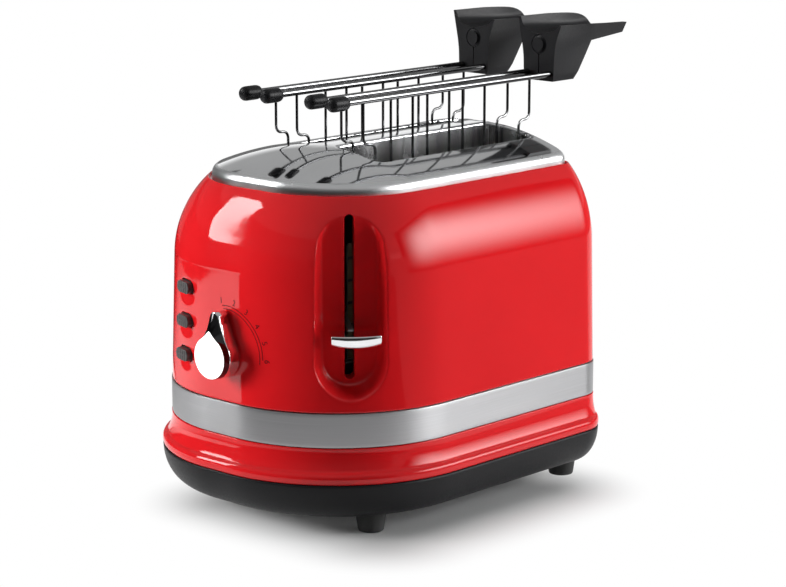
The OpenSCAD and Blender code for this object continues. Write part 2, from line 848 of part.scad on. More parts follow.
module carriage() {
  high = carriage_low + beam_h;
  beam_front = rod_x - beam_t / 2;
  beam_back = rod_x + beam_t / 2;
  lever_end = end_offset + arm_s * sin(lever_turn) + lever_seat_over;
  color("#8a8d91") placed() difference() {
    union() {
      post(rod_x, 0, carriage_low, carriage_low + carriage_h, boss_r);
      mid_block(beam_front, beam_back, 0, tongs_y + rack_arm_half, carriage_low, high);
      for (side = [-1, 1]) mid_block(beam_front, bulk_front - sheet_t - 2, side * tongs_y, rack_arm_half,
        carriage_low, high);
      block(keeper_x, rod_x, keeper_y, keeper_y + keeper_w, carriage_low, high);
      block(beam_front, beam_back, -lever_end, 0, arm_low - lever_seat_h, arm_low);
    }
    post(rod_x, 0, carriage_low - 1, carriage_low + carriage_h + 1, guide_rod_r + shaft_play);
    for (side = [-1, 1]) mid_block(rod_x - 1, bulk_front, side * tongs_y, blade_t / 2 + press_play,
      carriage_low - 1, high + 1);
  }
}

rack_tabs = 5;
rack_ends = 10;
rack_short = 3;
module bread_rack(side) {
  y = side * tongs_y;
  pitch = (wire_back - wire_front - rack_ends) / (rack_tabs - 1);
  high = carriage_low + blade_h;
  color("silver") placed() union() {
    mid_block(rod_x, wire_back - rack_short, y, blade_t / 2, carriage_low, high);
    for (i = [0:rack_tabs - 1]) translate([wire_front + 1 + i * pitch, 0, 0])
      mid_block(0, rack_tab_l, y, rack_tab_w / 2, high - rack_tab_t, high);
  }
}

module bread_rack_front() bread_rack(-1);

module bread_rack_rear() bread_rack(1);

// Tongue of the lever arm that the paddle is pressed on
module lever_tongue(start, grow) {
  half = tongue_h / 2 + grow;
  mid_block(start, paddle_s + paddle_d / 2 + grow, 0, arm_t / 2 + grow, lever_z - half, lever_z + half);
}

module lever_arm() {
  color("#8a8d91") placed() lever_frame() union() {
    mid_block(arm_s, paddle_s, 0, arm_t / 2, arm_low, arm_low + arm_h);
    lever_tongue(paddle_s - 1, 0);
  }
}

bow_r = 40;
sag_r = 30;
paddle_r = 3;
module lever_paddle() {
  low = lever_z - paddle_h / 2;
  front = paddle_s + paddle_d;
  color("silver") placed() lever_frame() difference() {
    translate([0, paddle_side, 0]) intersection() {
      translate([0, 0, low]) linear_extrude(paddle_h) intersection() {
        rounded_rect(paddle_s, front, -paddle_w / 2, paddle_w / 2, paddle_r);
        translate([front - bow_r, 0]) circle(bow_r, $fn = 96);
      }
      pin_x(paddle_s - 1, front + 1, 0, low + sag_r, sag_r);
    }
    lever_tongue(paddle_s - 2, press_play);
  }
}

module latch_keeper() color("dimgray") placed() keeper_block(0, carriage_low - keeper_h, carriage_low);

// Controls

bracket_foot = 9;
bracket_foot_in = 4;
bracket_foot_out = 12;
standoff_r = 2.5;
standoff_inset = 6;
module control_bracket() {
  x0 = board_x + board_t + standoff;
  ys = [board_left + standoff_inset, board_right - standoff_inset];
  zs = [board_low + standoff_inset, board_high - standoff_inset];
  color("#3a3a3c") placed() union() {
    block(x0, x0 + bracket_t, board_left, board_right, base_t, board_high);
    block(x0, x0 + bracket_foot, board_left + bracket_foot_in, board_right - bracket_foot_out,
      base_t, base_t + bracket_t);
    for (y = ys, z = zs) pin_x(x0 - standoff, x0 + 1, y, z, standoff_r);
  }
}

module control_board() {
  color("darkgreen") placed()
    block(board_x, board_x + board_t, board_left, board_right, board_low, board_high);
}

switch_half = 3;
plunger_r = 1.7;
module tact_switches() {
  color("#1c1c1e") placed() for (i = [0:2]) at_button(i) union() {
    mid_block(board_x - switch_h, board_x, 0, switch_half, -switch_half, switch_half);
    pin_x(board_x - switch_h - plunger_h, board_x - switch_h + 1, 0, 0, plunger_r);
  }
}

pot_w = 16;
pot_d = 8;
pot_nose = 6;
pot_wall = 1.8;
module potentiometer() {
  color("#4a4d52") placed() translate([0, knob_y, knob_z]) difference() {
    union() {
      mid_block(board_x - pot_d, board_x, 0, pot_w / 2, -pot_w / 2, pot_w / 2);
      pin_x(board_x - pot_d - pot_nose, board_x - pot_d + 1, 0, 0, shaft_r + pot_wall);
    }
    pin_x(board_x - pot_d - pot_nose - 1, board_x - 1, 0, 0, shaft_r + shaft_play);
  }
}

flange_t = 1.5;
flange_out = 2;
flange_in = 1;
flange_over = 1.2;
stem_r = 2;
module button(i) {
  stem_end = board_x - switch_h - plunger_h - button_travel - slide_gap;
  reach = wall_end(button_z + i * button_step) + button_proud;
  over = button_h / 2 + flange_over;
  color("#3c3c3e") placed() at_button(i) union() {
    intersection() {
      along_x(-reach - 4, button_flange + 1 + reach + 4) button_shape(0);
      translate([0, end_offset - button_y, -button_h]) cylinder(r = reach, h = 2 * button_h, $fn = 96);
    }
    block(button_flange, button_flange + flange_t, -button_w / 2 - flange_out, button_w / 2 + flange_in,
      -over, over);
    pin_x(button_flange + 1, stem_end, 0, 0, stem_r);
  }
}

module stop_button() button(2);

module reheat_button() button(1);

module defrost_button() button(0);

// Drop shape of the knob: a round part and a pointer tip joined by their tangents
module drop(r, tip, reach) {
  lean = acos((r - tip) / reach);
  round_part = [for (i = [0:drop_steps]) let (a = 90 + lean + (360 - 2 * lean) * i / drop_steps)
    [r * cos(a), r * sin(a)]];
  pointer = [for (i = [0:tip_steps]) let (a = 90 - lean + 2 * lean * i / tip_steps)
    [tip * cos(a), reach + tip * sin(a)]];
  polygon(concat(round_part, pointer));
}

drop_steps = 36;
tip_steps = 8;
cap_inset = 1.6;
cap_share = 0.62;
module cap_shape() drop(knob_r - cap_inset, knob_tip_r - cap_inset / 2, knob_reach * cap_share);

shaft_set = 5;
shaft_front = knob_front + shaft_set;
shaft_press = 0.02;
module knob_body() {
  color("silver") placed() translate([0, knob_y, knob_z]) difference() {
    hull() {
      along_x(knob_front, knob_slope) cap_shape();
      along_x(knob_front + knob_slope, knob_d - knob_slope) drop(knob_r, knob_tip_r, knob_reach);
    }
    pin_x(shaft_front, knob_back + 1, 0, 0, shaft_r + shaft_press);
  }
}

module knob_cap() {
  color("white") placed() translate([0, knob_y, knob_z]) along_x(knob_front - cap_t, cap_t) cap_shape();
}

module knob_shaft() {
  color("silver") placed() pin_x(shaft_front, board_x - 2, knob_y, knob_z, shaft_r);
}

// Crumb tray

module crumb_tray() {
  high = tray_low + tray_h;
  color("silver") placed() difference() {
    mid_block(tray_front, tray_back, 0, tray_half, tray_low, high);
    mid_block(tray_front + tray_t, tray_back - tray_t, 0, tray_half - tray_t, tray_low + tray_t, high + 1);
  }
}

handle_t = 5;
handle_over = 2;
handle_r = 1.5;
pull_half = 22;
pull_r = 3;
module tray_handle() {
  reach = tray_half + handle_lap;
  color("#1c1c1e") placed() difference() {
    along_y(-reach, 2 * reach)
      rounded_rect(tray_back, tray_back + handle_t, base_t, tray_low + tray_h + handle_over, handle_r);
    along_y(-pull_half, 2 * pull_half) translate([tray_back + handle_t + 0.5, tray_low + pull_r])
      circle(pull_r);
  }
}

// Tongs: side -1 is the near half, 1 the far half

// Wire from point to point in the grid's own plane
module wire_path(points, y, r) {
  path = [for (p = points) [p[0], y, p[1]]];
  for (i = [0:len(path) - 2]) wire(path[i], path[i + 1], r);
}

// End wire of a grid: down from the rod, in over the slot's end, and down into the slot
module end_wire(x, way, y) {
  out = x + way * shoulder_step;
  wire_path([[out, rod_z], [out, shoulder_wire_z], [x, shoulder_wire_z], [x, grid_low]], y, wire_r);
}

bar_count = 3;
cross_h = 40;
module tongs_grid(cy, side) {
  y = cy + side * grid_half;
  lip_y = cy + side * (jaw_gap / 2 + wire_r);
  bar_pitch = (wire_back - wire_front) / (bar_count + 1);
  bars = [for (i = [0:bar_count + 1]) wire_front + bar_pitch * i];
  cross_z = grid_low + cross_h;
  color("silver") placed() union() {
    pin_x(rod_front + tip_bury, grip_x + rod_bury, y, rod_z, rod_r, $fn = 24);
    end_wire(wire_front, -1, y);
    end_wire(wire_back, 1, y);
    for (i = [1:bar_count]) wire_path([[bars[i], rod_z], [bars[i], grid_low]], y, wire_r);
    wire([wire_front, y, cross_z], [wire_back, y, cross_z], wire_r);
    for (x = bars) wire([x, y, grid_low], [x, lip_y, grid_low], wire_r);
    wire([wire_front, lip_y, grid_low], [wire_back, lip_y, grid_low], wire_r);
  }
}

wing_over = 3;
wing_t = 1.9;
waist_w = 0.6;
waist_drop = 6;
hollow_w = 1.2;
hollow_rise = 4.6;
// Half of a grip seen from its end, measured outwards from the split and up from the rods
module grip_section(side) {
  half = [[split_gap, -grip_low], [grip_w, -grip_low], [grip_w + waist_w, pivot_h - waist_drop],
    [wing_w, wing_h + wing_over], [wing_w - wing_t, wing_h + wing_over],
    [knuckle_r + hollow_w, pivot_h + hollow_rise], [split_gap, pivot_h - 1]];
  polygon([for (p = half) [side * p[0], p[1]]]);
}

tongue_rise = 3;
tongue_l = 9;
tongue_drop = 4;
far_wing_over = 2;
far_corner_l = 20;
far_corner_h = 10;
rear_slope = 18;
// Side view of a grip: the near wing runs out as a thumb tongue, the far wing ends in a round corner
module grip_side(side) {
  tongue_z = pivot_h + tongue_rise;
  far_top = wing_h + far_wing_over;
  under = [[0, -grip_low - 1], [grip_foot, -grip_low - 1], [grip_foot + rear_slope, tongue_z]];
  near = [[grip_top - tongue_l, tongue_z], [grip_top, wing_h - tongue_drop], [0, wing_h]];
  corner = [for (a = [0:15:90])
    [grip_top - far_corner_l * (1 - cos(a)), far_top - far_corner_h * (1 - sin(a))]];
  far = concat([[grip_top - tongue_drop, tongue_z]], corner, [[0, far_top]]);
  polygon([for (p = concat(under, side < 0 ? near : far)) [grip_x + p[0], rod_z + p[1]]]);
}

// Lengths of the pivot that a half's own knuckles take, measured from the grip's face
function knuckles(side) = side < 0 ? [[knuckle_l + slide_gap, knuckle_l + knuckle_mid]]
  : [[0, knuckle_l], [knuckle_l + knuckle_mid + slide_gap, 2 * knuckle_l + knuckle_mid]];

knuckle_web = 3;
module tongs_grip(cy, side) {
  web = side * (knuckle_r + knuckle_web);
  color("#2f2f31") placed() translate([0, cy, 0]) difference() {
    union() {
      difference() {
        intersection() {
          along_x(grip_x, grip_top) translate([0, rod_z]) grip_section(side);
          along_y(side < 0 ? -wing_w - 2 : 0, wing_w + 2) grip_side(side);
        }
        pin_x(grip_x - 1, wing_back + 1, 0, pivot_z, knuckle_r + slide_gap);
      }
      for (k = knuckles(side)) pin_x(grip_x + k[0], grip_x + k[1], 0, pivot_z, knuckle_r);
      for (k = knuckles(side)) intersection() {
        along_x(grip_x + k[0], k[1] - k[0]) translate([0, rod_z]) grip_section(side);
        block(grip_x, wing_back, min(0, web), max(0, web), pivot_z - abs(web), pivot_z + knuckle_web);
      }
    }
    for (k = knuckles(side))
      pin_x(grip_x + k[0] - 0.1, grip_x + k[1] + 0.1, 0, pivot_z, pin_r + shaft_play);
    pin_x(grip_x - 1, grip_x + rod_bury + hole_play, side * grid_half, rod_z, rod_r + press_play);
  }
}

nose_r = 2.5;
neck_in = 0.9;
module tongs_tip(cy, side) {
  neck_r = tip_r - neck_in;
  nose = [for (a = [0:15:90]) [tip_r - nose_r + nose_r * sin(a), nose_r - nose_r * cos(a)]];
  neck = [[tip_r, tip_l * 0.45], [neck_r, tip_l * 0.62], [neck_r, tip_l - 1], [neck_r - 1, tip_l],
    [0, tip_l]];
  color("#1c1c1e") placed() translate([rod_front, cy + side * grid_half, rod_z]) rotate([0, 90, 0])
    difference() {
      rotate_extrude() polygon(concat([[0, 0]], nose, neck));
      translate([0, 0, tip_bury - press_play]) cylinder(r = rod_r + press_play, h = tip_l);
    }
}

pin_head_r = 4.2;
pin_head_t = 1.2;
pin_over = 6.5;
pin_end = 2 * knuckle_l + knuckle_mid + pin_over;
module tongs_pin(cy) {
  color("#2f2f31") placed() translate([0, cy, 0]) union() {
    pin_x(grip_x - pin_head_t, grip_x, 0, pivot_z, pin_head_r);
    pin_x(grip_x - pin_head_t / 2, grip_x + pin_end, 0, pivot_z, pin_r);
  }
}

torsion_wire = 0.5;
torsion_turns = 3;
torsion_l = 4.8;
torsion_gap = 0.2;
module tongs_spring(cy) {
  start = 2 * knuckle_l + knuckle_mid + torsion_wire + torsion_gap;
  color("gray") placed() translate([grip_x + start, cy, pivot_z]) rotate([0, 90, 0])
    coil(pin_r + torsion_wire + slide_gap, torsion_wire, torsion_turns, torsion_l);
}

module front_tongs_near_grid() tongs_grid(-tongs_y, -1);

module front_tongs_far_grid() tongs_grid(-tongs_y, 1);

module front_tongs_near_grip() tongs_grip(-tongs_y, -1);

module front_tongs_far_grip() tongs_grip(-tongs_y, 1);

module front_tongs_near_tip() tongs_tip(-tongs_y, -1);

module front_tongs_far_tip() tongs_tip(-tongs_y, 1);

module front_tongs_pin() tongs_pin(-tongs_y);

module front_tongs_spring() tongs_spring(-tongs_y);

module rear_tongs_near_grid() tongs_grid(tongs_y, -1);

module rear_tongs_far_grid() tongs_grid(tongs_y, 1);

module rear_tongs_near_grip() tongs_grip(tongs_y, -1);

module rear_tongs_far_grip() tongs_grip(tongs_y, 1);

module rear_tongs_near_tip() tongs_tip(tongs_y, -1);

module rear_tongs_far_tip() tongs_tip(tongs_y, 1);

module rear_tongs_pin() tongs_pin(tongs_y);

module rear_tongs_spring() tongs_spring(tongs_y);

shell();
top_plate();
trim_band();
skirt();
base_tray();
feet();
base_screws();
cord_inlet();
front_bulkhead();
rear_bulkhead();
reflector_front();
reflector_rear();
heater_board_front();
heater_board_centre();
heater_board_rear();
heater_ribbons();
bread_guides_front();
bread_guides_rear();
guide_rod();
lift_spring();
latch_magnet();
latch_coil();
control_bracket();
control_board();
tact_switches();
potentiometer();
carriage();
bread_rack_front();
bread_rack_rear();
lever_arm();
lever_paddle();
latch_keeper();
stop_button();
reheat_button();
defrost_button();
knob_body();
knob_cap();
knob_shaft();
crumb_tray();
tray_handle();
front_tongs_near_grid();
front_tongs_far_grid();
front_tongs_near_grip();
front_tongs_far_grip();
front_tongs_near_tip();
front_tongs_far_tip();
front_tongs_pin();
front_tongs_spring();
rear_tongs_near_grid();
rear_tongs_far_grid();
rear_tongs_near_grip();
rear_tongs_far_grip();
rear_tongs_near_tip();
rear_tongs_far_tip();
rear_tongs_pin();
rear_tongs_spring();
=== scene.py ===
"""Rounded two-slot toaster with sandwich tongs: the visible pieces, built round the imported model."""

import json
import math

import bmesh
import bpy
import numpy as np
from bpy.props import FloatProperty, FloatVectorProperty, PointerProperty
from bpy.types import Operator, Panel, PropertyGroup
from mathutils import Matrix, Vector


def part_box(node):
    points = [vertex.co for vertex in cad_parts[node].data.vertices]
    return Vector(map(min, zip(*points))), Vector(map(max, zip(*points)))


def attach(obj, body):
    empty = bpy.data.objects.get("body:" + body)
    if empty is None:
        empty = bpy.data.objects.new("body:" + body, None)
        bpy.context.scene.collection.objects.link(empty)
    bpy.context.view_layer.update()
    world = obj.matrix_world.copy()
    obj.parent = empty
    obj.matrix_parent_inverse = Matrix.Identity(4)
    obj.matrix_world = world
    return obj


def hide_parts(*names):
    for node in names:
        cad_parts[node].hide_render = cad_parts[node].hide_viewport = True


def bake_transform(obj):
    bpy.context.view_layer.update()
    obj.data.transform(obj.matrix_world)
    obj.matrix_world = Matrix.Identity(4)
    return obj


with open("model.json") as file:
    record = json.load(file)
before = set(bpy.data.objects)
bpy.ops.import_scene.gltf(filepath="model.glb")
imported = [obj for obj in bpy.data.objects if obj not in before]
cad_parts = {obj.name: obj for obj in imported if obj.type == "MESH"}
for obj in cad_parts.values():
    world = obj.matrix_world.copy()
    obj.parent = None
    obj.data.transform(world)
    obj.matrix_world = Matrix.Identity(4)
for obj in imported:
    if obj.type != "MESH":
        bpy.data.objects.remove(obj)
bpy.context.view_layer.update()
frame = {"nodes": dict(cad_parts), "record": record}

bl_info = {
    "name": "Toaster with sandwich tongs",
    "version": (1, 0, 0),
    "blender": (4, 5, 0),
    "location": "View3D > Sidebar > Toaster",
    "description": "Builds the visible pieces of a two-slot toaster round its packed model",
    "category": "Object",
}

MM = 0.001
NODES = frame["nodes"]

# Columns of the body's outline: control end arcs, front, sides, back corners and back
ARC, FRONT, SIDE, CORNER, BACK = 90, 10, 60, 18, 40
NEAR_ARC = ARC + FRONT


def length(name, description, default):
    """A size in metres whose default is given in millimetres."""
    return FloatProperty(name=name, description=description, default=default * MM, unit="LENGTH", precision=5)


def turn(name, description, default):
    """An angle whose default is given in degrees."""
    return FloatProperty(name=name, description=description, default=math.radians(default), subtype="ANGLE")


def paint(name, description, default):
    """A colour of a finish."""
    return FloatVectorProperty(name=name, description=description, default=default, size=3, subtype="COLOR",
                               min=0.0, max=1.0)


class ToasterBodySizes(PropertyGroup):
    """Sizes of the shell, band, skirt, base and feet."""

    end_r: length("End radius", "Radius of the control end at the foot of the shell", 81.6)
    half_w: length("Half width", "Half of the shell's width at its foot", 91.2)
    back_x: length("Back", "From the control end's centre to the back wall", 141)
    corner_r: length("Corner radius", "Radius of the upright corners at the back", 20)
    lean_end: length("Lean, end", "How far the wall leans in at the control end", 3)
    lean_side: length("Lean, sides", "How far the wall leans in at the sides", 2)
    shell_z: length("Shell foot", "Height of the shell's lower edge above the base", 60)
    shoulder_z: length("Shoulder", "Height at which the shoulder starts", 132)
    top_z: length("Top edge", "Height of the shell's top edge", 174.3)
    shoulder_turn: turn("Shoulder turn", "Angle that the shoulder turns through", 47.5)
    shoulder_side: length("Shoulder, sides", "How far the shoulder comes in at the sides", 18.9)
    shoulder_end: length("Shoulder, end", "How far the shoulder comes in at the control end", 20.6)
    shoulder_back: length("Shoulder, back", "How far the shoulder comes in at the back", 5.4)
    band_z: length("Band foot", "Height of the trim band's lower edge", 40.4)
    band_proud: length("Band proud", "How far the band stands proud of the shell", 0.4)
    skirt_z: length("Skirt foot", "Height of the skirt's lower edge", 21)
    flare: length("Flare", "Flare of the skirt at the control end and the sides", 6.2)
    flare_back: length("Flare, back", "Flare of the skirt at the back", 2.6)
    base_round: length("Base round", "How far the base's lower edge draws in", 15)
    base_round_back: length("Base round, back", "How far the base's lower edge draws in at the back", 6)
    foot_top_r: length("Foot, top", "Radius of a foot where it meets the base", 8.6)
    foot_bottom_r: length("Foot, bottom", "Radius of a foot where it stands", 7.2)
    foot_h: length("Foot height", "Height of a foot", 11)


class ToasterLidSizes(PropertyGroup):
    """Sizes of the lid."""

    crown_z: length("Crown", "Height of the lid's crown above the base", 193)
    arch_r: length("Arch radius", "Radius of the lid's arch across the slots", 177)
    gap: length("Gap", "Dark gap between the lid's rim and the shell", 2.4)
    rim_roll: length("Rim roll", "Width of the lid's rolled edge", 3.2)
    fall: length("Fall", "Length of the lid's rounded fall at the back", 4)
    slot_y: length("Slot place", "From the lid's middle to the middle of a slot", 25.8)
    slot_w: length("Slot width", "Width of a bread slot", 35)
    slot_front: length("Slot front", "Front end of the slots", -3)
    slot_back: length("Slot back", "Back end of the slots", 128.5)
    slot_r: length("Slot corner", "Corner radius of a slot", 6)
    slot_roll: length("Slot roll", "Radius of the slots' rolled edges", 1.6)
    flange_z: length("Flange foot", "Height of the lower edge of the slot flanges", 166)


class ToasterControlSizes(PropertyGroup):
    """Sizes of the lever, its recess, the knob, the dial and the buttons."""

    lever_turn: turn("Lever direction", "Direction of the lever recess from the control end", 49)
    recess_w: length("Recess width", "Width of the recess at the shell's surface", 43)
    recess_floor_w: length("Recess floor", "Width of the recess floor", 31)
    recess_floor: length("Recess depth", "From the recess's centre line to its floor", 68.6)
    recess_low: length("Recess foot", "Height of the recess's lower end", 66.5)
    recess_high: length("Recess top", "Height of the recess's upper end", 171.8)
    lever_slot_w: length("Lever slot", "Width of the lever slot", 5.3)
    lever_slot_low: length("Lever slot foot", "Lower end of the lever slot", 75.8)
    lever_slot_high: length("Lever slot top", "Upper end of the lever slot", 166.2)
    lever_z: length("Lever height", "Height of the lever as photographed", 101)
    paddle_s: length("Paddle place", "From the recess's centre line to the back of the paddle", 76)
    paddle_w: length("Paddle width", "Width of the lever paddle", 27)
    paddle_d: length("Paddle depth", "Depth of the lever paddle", 16)
    paddle_h: length("Paddle height", "Height of the lever paddle", 7)
    paddle_side: length("Paddle side", "How far the paddle's middle lies to the side of the lever arm", 2)
    knob_y: length("Knob place", "Sideways place of the knob's axis", -1.4)
    knob_z: length("Knob height", "Height of the knob's axis", 86.1)
    knob_r: length("Knob radius", "Radius of the knob's round part", 12.3)
    knob_tip_r: length("Pointer radius", "Radius of the knob's pointer tip", 3.6)
    knob_reach: length("Pointer reach", "From the knob's axis to the centre of its tip", 21.3)
    knob_d: length("Knob depth", "Depth of the knob", 10.9)
    knob_slope: length("Knob slope", "Depth of the knob's sloping front edge", 4)
    knob_face: length("Knob face", "Thickness of the knob's face", 0.2)
    button_y: length("Button place", "Sideways place of the buttons", 35)
    button_z: length("Button height", "Height of the lowest button", 80)
    button_step: length("Button step", "Distance from one button to the next", 19)
    button_w: length("Button width", "Width of a button", 14)
    button_h: length("Button face height", "Height of a button", 6.6)
    button_proud: length("Button proud", "How far a button stands proud of the shell", 3.6)
    dial_r: length("Dial radius", "Radius of the dial's outer printed arc", 27)
    dial_gap: length("Dial gap", "Distance between the dial's two printed arcs", 1.8)
    dial_line: length("Dial line", "Width of a printed line", 0.42)
    number_r: length("Number radius", "Radius of the circle that the dial's numbers stand on", 29.6)
    number_h: length("Number height", "Height of the dial's numbers", 3.3)


class ToasterTongsSizes(PropertyGroup):
    """Sizes of the tongs."""

    grid_half: length("Half gap", "Half the distance between the two grids of a pair", 8.4)
    rod_z: length("Rod height", "Height of the rods above the base", 221)
    rod_r: length("Rod radius", "Radius of a rod", 1.8)
    wire_r: length("Wire radius", "Radius of a grid wire", 0.78)
    rod_front: length("Rod front", "Front end of the rods", -32)
    grid_low: length("Grid foot", "Height of the grids' lower edge", 107)
    jaw_gap: length("Jaw gap", "Gap between the lower edges of a pair", 10)
    step: length("Step", "Step of the end wires over the slot's ends", 9.5)
    wire_front: length("Front wire", "Place of the front end wire in the slot", 4)
    wire_back: length("Back wire", "Place of the back end wire in the slot", 126.2)
    grip_x: length("Grip face", "Face of the grips that the rods enter", 154)
    grip_foot: length("Grip foot", "Length of a grip along its lower edge", 20)
    grip_top: length("Grip top", "Length of a grip along its thumb tongue", 72)
    grip_w: length("Grip width", "Half width of a pair of grips at the bottom", 11.5)
    wing_w: length("Wing width", "Half width of a pair of grips across the far wing", 16.5)
    wing_h: length("Wing height", "Height of the near wing above the rods", 31)
    pivot_h: length("Pivot height", "Height of the pivot above the rods", 17)
    knuckle_r: length("Knuckle radius", "Radius of the pivot knuckles", 5.4)
    tip_l: length("Tip length", "Length of a tip cap", 13.6)
    tip_r: length("Tip radius", "Radius of a tip cap", 4.1)


class ToasterColours(PropertyGroup):
    """Colours of the finishes."""

    red: paint("Red enamel", "Colour of the shell and the skirt", (0.74, 0.012, 0.016))
    chrome: paint("Chrome", "Colour of the polished pieces", (0.86, 0.87, 0.88))
    band: paint("Band", "Colour of the brushed band", (0.43, 0.43, 0.44))
    base: paint("Base plastic", "Colour of the base", (0.009, 0.009, 0.010))
    grip: paint("Grip plastic", "Colour of the grips and tips", (0.008, 0.008, 0.009))
    button: paint("Buttons", "Colour of the push buttons", (0.075, 0.072, 0.072))
    face: paint("Knob face", "Colour of the knob's face", (0.92, 0.92, 0.92))
    ink: paint("Dial ink", "Colour of the dial's arc and numbers", (0.06, 0.004, 0.005))
    floor: paint("Floor", "Colour of the floor", (0.72, 0.72, 0.72))


GROUPS = (("toaster_body", ToasterBodySizes), ("toaster_lid", ToasterLidSizes),
          ("toaster_controls", ToasterControlSizes), ("toaster_tongs", ToasterTongsSizes),
          ("toaster_colours", ToasterColours))


class Millimetres:
    """Reads the sizes of a property group in millimetres, and its angles as they are."""

    def __init__(self, group):
        self.group = group

    def __getattr__(self, name):
        value = getattr(self.group, name)
        return value if name.endswith("turn") else value / MM


def sizes(context):
    """Body, lid, control and tongs sizes in millimetres."""
    scene = context.scene
    return tuple(Millimetres(getattr(scene, name)) for name, _ in GROUPS[:4])


# From the control end's centre to the band's face, in millimetres
BAND_REACH = 82.0
# Where the working frame of the sizes lies in the row frame
SHIFT = Vector((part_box("trim_band")[0].x + BAND_REACH * MM, 0.0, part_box("base_tray")[0].z))


def place(points):
    """Working-frame points in millimetres as row-frame points in metres."""
    return np.asarray(points, float) * MM + np.array(SHIFT)


# Meshes

def grid_faces(rows, columns, closed=True, start=0):
    """Quads of a grid of points whose rows follow one another."""
    last = columns if closed else columns - 1
    return [(start + i * columns + j, start + i * columns + (j + 1) % columns,
             start + (i + 1) * columns + (j + 1) % columns, start + (i + 1) * columns + j)
            for i in range(rows - 1) for j in range(last)]


def stacked(rows):
    """Points and faces of a stack of closed rows of points."""
    return [p for row in rows for p in row], grid_faces(len(rows), len(rows[0]))


def clean(mesh, merge=None, flat_turn=None):
    """Merges close points and joins flat faces where asked, and turns all faces outward."""
    work = bmesh.new()
    work.from_mesh(mesh)
    if merge is not None:
        bmesh.ops.remove_doubles(work, verts=work.verts, dist=merge)
    if flat_turn is not None:
        bmesh.ops.dissolve_limit(work, angle_limit=flat_turn, verts=work.verts, edges=work.edges)
    bmesh.ops.recalc_face_normals(work, faces=work.faces)
    work.to_mesh(mesh)
    work.free()


def make_piece(name, points, faces, material, body, replaces=(), slot=None, uv=None, sharp=None, tidy=False):
    """One visible piece: its mesh, finish, body and the model nodes that it stands for."""
    mesh = bpy.data.meshes.new(name)
    mesh.from_pydata([tuple(p) for p in place(points)], [], [tuple(f) for f in faces])
    if uv is not None:
        layer = mesh.uv_layers.new(name="along")
        corners = np.array([uv[loop.vertex_index] for loop in mesh.loops], np.float32)
        layer.data.foreach_set("uv", corners.ravel())
    if tidy:
        clean(mesh, 1e-6)
    mesh.polygons.foreach_set("use_smooth", [True] * len(mesh.polygons))
    if sharp is not None:
        mesh.set_sharp_from_angle(angle=math.radians(sharp))
    mesh.update()
    return add_piece(name, mesh, material, body, replaces)


def add_piece(name, mesh, material, body, replaces=()):
    """Puts a finished mesh in the scene as a piece that rides on a body, where one is named."""
    piece = bpy.data.objects.new(name, mesh)
    bpy.context.scene.collection.objects.link(piece)
    mesh.materials.append(material)
    if body:
        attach(piece, body)
    if replaces:
        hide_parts(*replaces)
    return piece


def bevel(piece, width, segments=3, angle=30):
    """Rounds the edges of a piece."""
    step = piece.modifiers.new("edges", "BEVEL")
    step.width = width * MM
    step.segments = segments
    step.limit_method = "ANGLE"
    step.angle_limit = math.radians(angle)
    step.harden_normals = False
    shade = piece.modifiers.new("shading", "WEIGHTED_NORMAL")
    shade.keep_sharp = True
    return piece


def outline(levels):
    """Outline points of each level (end radius, half width, back, corner radius), one row a level."""
    levels = np.asarray(levels, float)
    r, h, b, c = (levels[:, i:i + 1] for i in range(4))
    zero = 0 * r

    def arc(start, count, radius, cx, cy):
        t = np.radians(start + 90 * np.arange(count) / count)
        return cx + radius * np.cos(t), cy + radius * np.sin(t)

    def line(x0, y0, x1, y1, count):
        k = np.arange(count) / count
        return x0 + (x1 - x0) * k, y0 + (y1 - y0) * k

    parts = (arc(90, ARC, r, zero, h - r), line(-r, h - r, -r, r - h, FRONT), arc(180, ARC, r, zero, r - h),
             line(zero, -h, b - c, -h, SIDE), arc(270, CORNER, c, b - c, c - h),
             line(b, c - h, b, h - c, BACK), arc(0, CORNER, c, b - c, h - c), line(b - c, h, zero, h, SIDE))
    return np.stack([np.concatenate([p[axis] for p in parts], 1) for axis in (0, 1)], 2)


def loft_points(levels, heights):
    """Points of a stack of outline levels at the given heights."""
    flat = outline(levels)
    z = np.repeat(np.asarray(heights, float)[:, None], flat.shape[1], 1)
    return np.concatenate([flat, z[:, :, None]], 2)


def grown(level, amount):
    """An outline level with every measure made larger by an amount."""
    return np.asarray(level, float) + amount


def rounded_loop(half_w, half_h, radius, counts):
    """Points of a rounded rectangle, clockwise from the middle of its upper left corner."""

    def side(a, b, n):
        bend, straight = radius * math.pi / 4, 2 * (a - radius)
        d = (2 * bend + straight) * np.arange(n) / n
        first, last = d < bend, d > bend + straight
        angle = np.where(first, 0.75 * math.pi - d / radius,
                         np.where(last, math.pi / 2 - (d - bend - straight) / radius, math.pi / 2))
        middle = np.where(first, radius - a, np.where(last, a - radius, d - bend + radius - a))
        return middle + radius * np.cos(angle), b - radius + radius * np.sin(angle)

    top, right = side(half_w, half_h, counts[0]), side(half_h, half_w, counts[1])
    low, left = side(half_w, half_h, counts[2]), side(half_h, half_w, counts[3])
    return np.concatenate([np.stack(top, 1), np.stack([right[1], -right[0]], 1),
                           np.stack([-low[0], -low[1]], 1), np.stack([-left[1], left[0]], 1)])


def soft_min(a, b, k):
    """Smaller of two values, rounded where they are within k of each other."""
    h = np.maximum(k - np.abs(a - b), 0) / k
    return np.minimum(a, b) - h * h * k / 4


def soft_max(a, b, k):
    """Larger of two values, rounded where they are within k of each other."""
    return -soft_min(-a, -b, k)


# Shell

